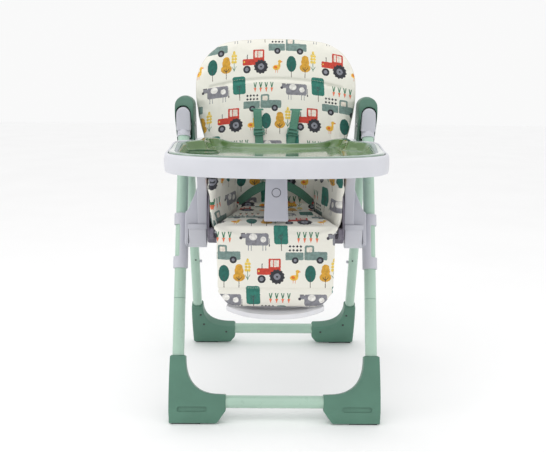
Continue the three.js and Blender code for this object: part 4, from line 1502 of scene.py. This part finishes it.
new_piece("crotch_webbing", strap(crotch, ((0, -0.7, 0.7), (0, -1, 0.1))), WEBBING, "seat", "webbing",
          "crotch_strap", angle=50)
print("straps done")

# %% [markdown]
# ## Buckles
# A three-bar slider sits on each shoulder strap, and a push-button buckle joins all five straps.

# %% Adjusters and buckle
for side, sign in SIDES:
    lean = {"left": 9, "right": 4}[side]
    base = (BACK_FRAME @ at(sign * 51.5, -50.5, 237)
            @ Matrix.Rotation(math.radians(sign * lean), 4, "Y"))
    bm = block((34, 4.5, 22), Matrix())
    bevel_sharp(bm, 1.4, 3)
    for z in (-5.4, 5.4):
        bm = carved(bm, block((27, 20, 5.6), at(0, 0, z)))
    bmesh.ops.transform(bm, matrix=base, verts=bm.verts)
    new_piece(f"strap_slider_{side}", bm, BUCKLE_PLASTIC, "backrest", "dark_plastic",
              f"strap_adjuster_{side}", angle=35)
moulded("harness_buckle", BUCKLE_PLASTIC, "seat", "dark_plastic", 1.0, 3)
edged("buckle_button", CARRIER_GREY, "buckle_button", "green_plastic", 1.5, 3)
# A dark pill marks the slot each shoulder strap comes out of. Its dark colour is painted shadow along the
# slot's top edge.
for side, sign in SIDES:
    across = sign * STRAP_ACROSS[side][0]
    shadow_slit = pill(across - 19, across + 19, 303, 308.5, -45.5, -36)
    bevel_sharp(shadow_slit, 1.2, 2)
    bmesh.ops.transform(shadow_slit, matrix=BACK_FRAME, verts=shadow_slit.verts)
    new_piece(f"strap_slot_shadow_{side}", shadow_slit, BUCKLE_PLASTIC, "backrest", "dark_plastic", angle=35)
print("harness done, pieces:", len(PIECES))

# %% [markdown]
# ## Piping
# A cord in a strip of cloth is sewn into the front edge of the back cushion. Its route is found
# by looking from outside onto the cushion, so that it lies on the cover.

# %% Piping round the backrest
graph = bpy.context.evaluated_depsgraph_get()
cover = BVHTree.FromObject(back_cushion, graph)
route = []
for x, z in back_outline(0, 22, 8):
    outside = BACK_FRAME @ (Vector((x * 1.25, -BACK_THICK * 0.62, (z - 250) * 1.25 + 250)) * MM)
    inside = BACK_FRAME @ Vector((x * 0.5 * MM, -BACK_THICK * 0.62 * MM, 0.25 + (z * MM - 0.25) * 0.5))
    hit = cover.ray_cast(outside, (inside - outside).normalized())[0]
    if hit is not None:
        route.append(hit)
curve = bpy.data.curves.new("piping", "CURVE")
curve.dimensions = "3D"
curve.bevel_depth = 2.0 * MM
curve.bevel_resolution = 4
spline = curve.splines.new("POLY")
spline.points.add(len(route) - 1)
for target, point in zip(spline.points, route):
    target.co = (*point, 1)
spline.use_cyclic_u = True
holder = linked("piping", curve)
graph = bpy.context.evaluated_depsgraph_get()
bm = bmesh.new()
bm.from_mesh(bpy.data.meshes.new_from_object(holder.evaluated_get(graph), depsgraph=graph))
bpy.data.objects.remove(holder)
new_piece("backrest_piping", bm, PIPING, "backrest", "printed_cloth", angle=0)
print("piping has", len(route), "points")

# %% [markdown]
# ## Stitches
# Thread shows along the head panel's seam and across the calf pad. Each stitch is a short bevelled
# bar that lies on the cover, found by looking straight at the cushion.

# %% Rows of stitches
def stitch_row(name, cushion, spots, toward, body, blend=None):
    """One piece: a stitch on the cushion at every second gap between the spots."""
    skin = BVHTree.FromObject(cushion, bpy.context.evaluated_depsgraph_get())
    hits = [skin.ray_cast(spot, toward)[0] for spot in spots]
    row = bmesh.new()
    for first, second in zip(hits[::2], hits[1::2]):
        if first is None or second is None:
            continue
        along = second - first
        turn = along.to_track_quat("X", "Z").to_matrix().to_4x4()
        bmesh.ops.create_cube(row, size=1, matrix=Matrix.Translation((first + second) / 2) @ turn
                              @ Matrix.Diagonal((along.length, 0.9 * MM, 0.9 * MM, 1)))
    bmesh.ops.bevel(row, geom=row.edges[:], offset=0.2 * MM, offset_type="OFFSET", segments=1,
                    profile=0.5, affect="EDGES", material=-1)
    made = new_piece(name, row, PIPING, body, "printed_cloth", angle=0)
    if blend:
        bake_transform(made, *blend)
    return made


facing_back = BACK_FRAME.to_3x3() @ Vector((0, 1, 0))
spots = [BACK_FRAME @ Vector((x * MM, -0.15, (404 - 26 * (x / 200) ** 2) * MM))
         for x in np.arange(-196, 197, 2.4)]
stitch_row("head_seam_stitches", back_cushion, spots, facing_back, "backrest")
spots = [Vector((x * MM, -0.32, 0.3905)) for x in np.arange(-158, 159, 2.4)]
stitch_row("calf_seam_stitches", seat_cushion, spots, Vector((0, 1, 0)), None,
           ("seat", "leg_rest", (0, -0.214, 0.575), (0, -0.242, 0.528)))
print("stitches done, pieces:", len(PIECES))

# %% [markdown]
# ## The floor and the last checks
# The floor is a pale sheet that isn't part of the chair. Then every measured node that is still shown is
# listed.

# %% Floor and finish
bm = bmesh.new()
bmesh.ops.create_grid(bm, x_segments=1, y_segments=1, size=12)
floor = linked("floor", mesh_of("floor", bm))
floor_finish, sums, shader, place = new_finish("studio_floor")
sums.feed(shader.inputs["Base Color"], sums.mix(sums.noise(place, 2.0), srgb("fafafa"), srgb("ffffff")))
sums.feed(shader.inputs["Roughness"], sums.remap(sums.noise(place, 8.0), 0.3, 0.7, 0.85, 0.95))
floor.data.materials.append(floor_finish)

for name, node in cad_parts.items():
    if not node.hide_render:
        print("CAD node still shown:", name)
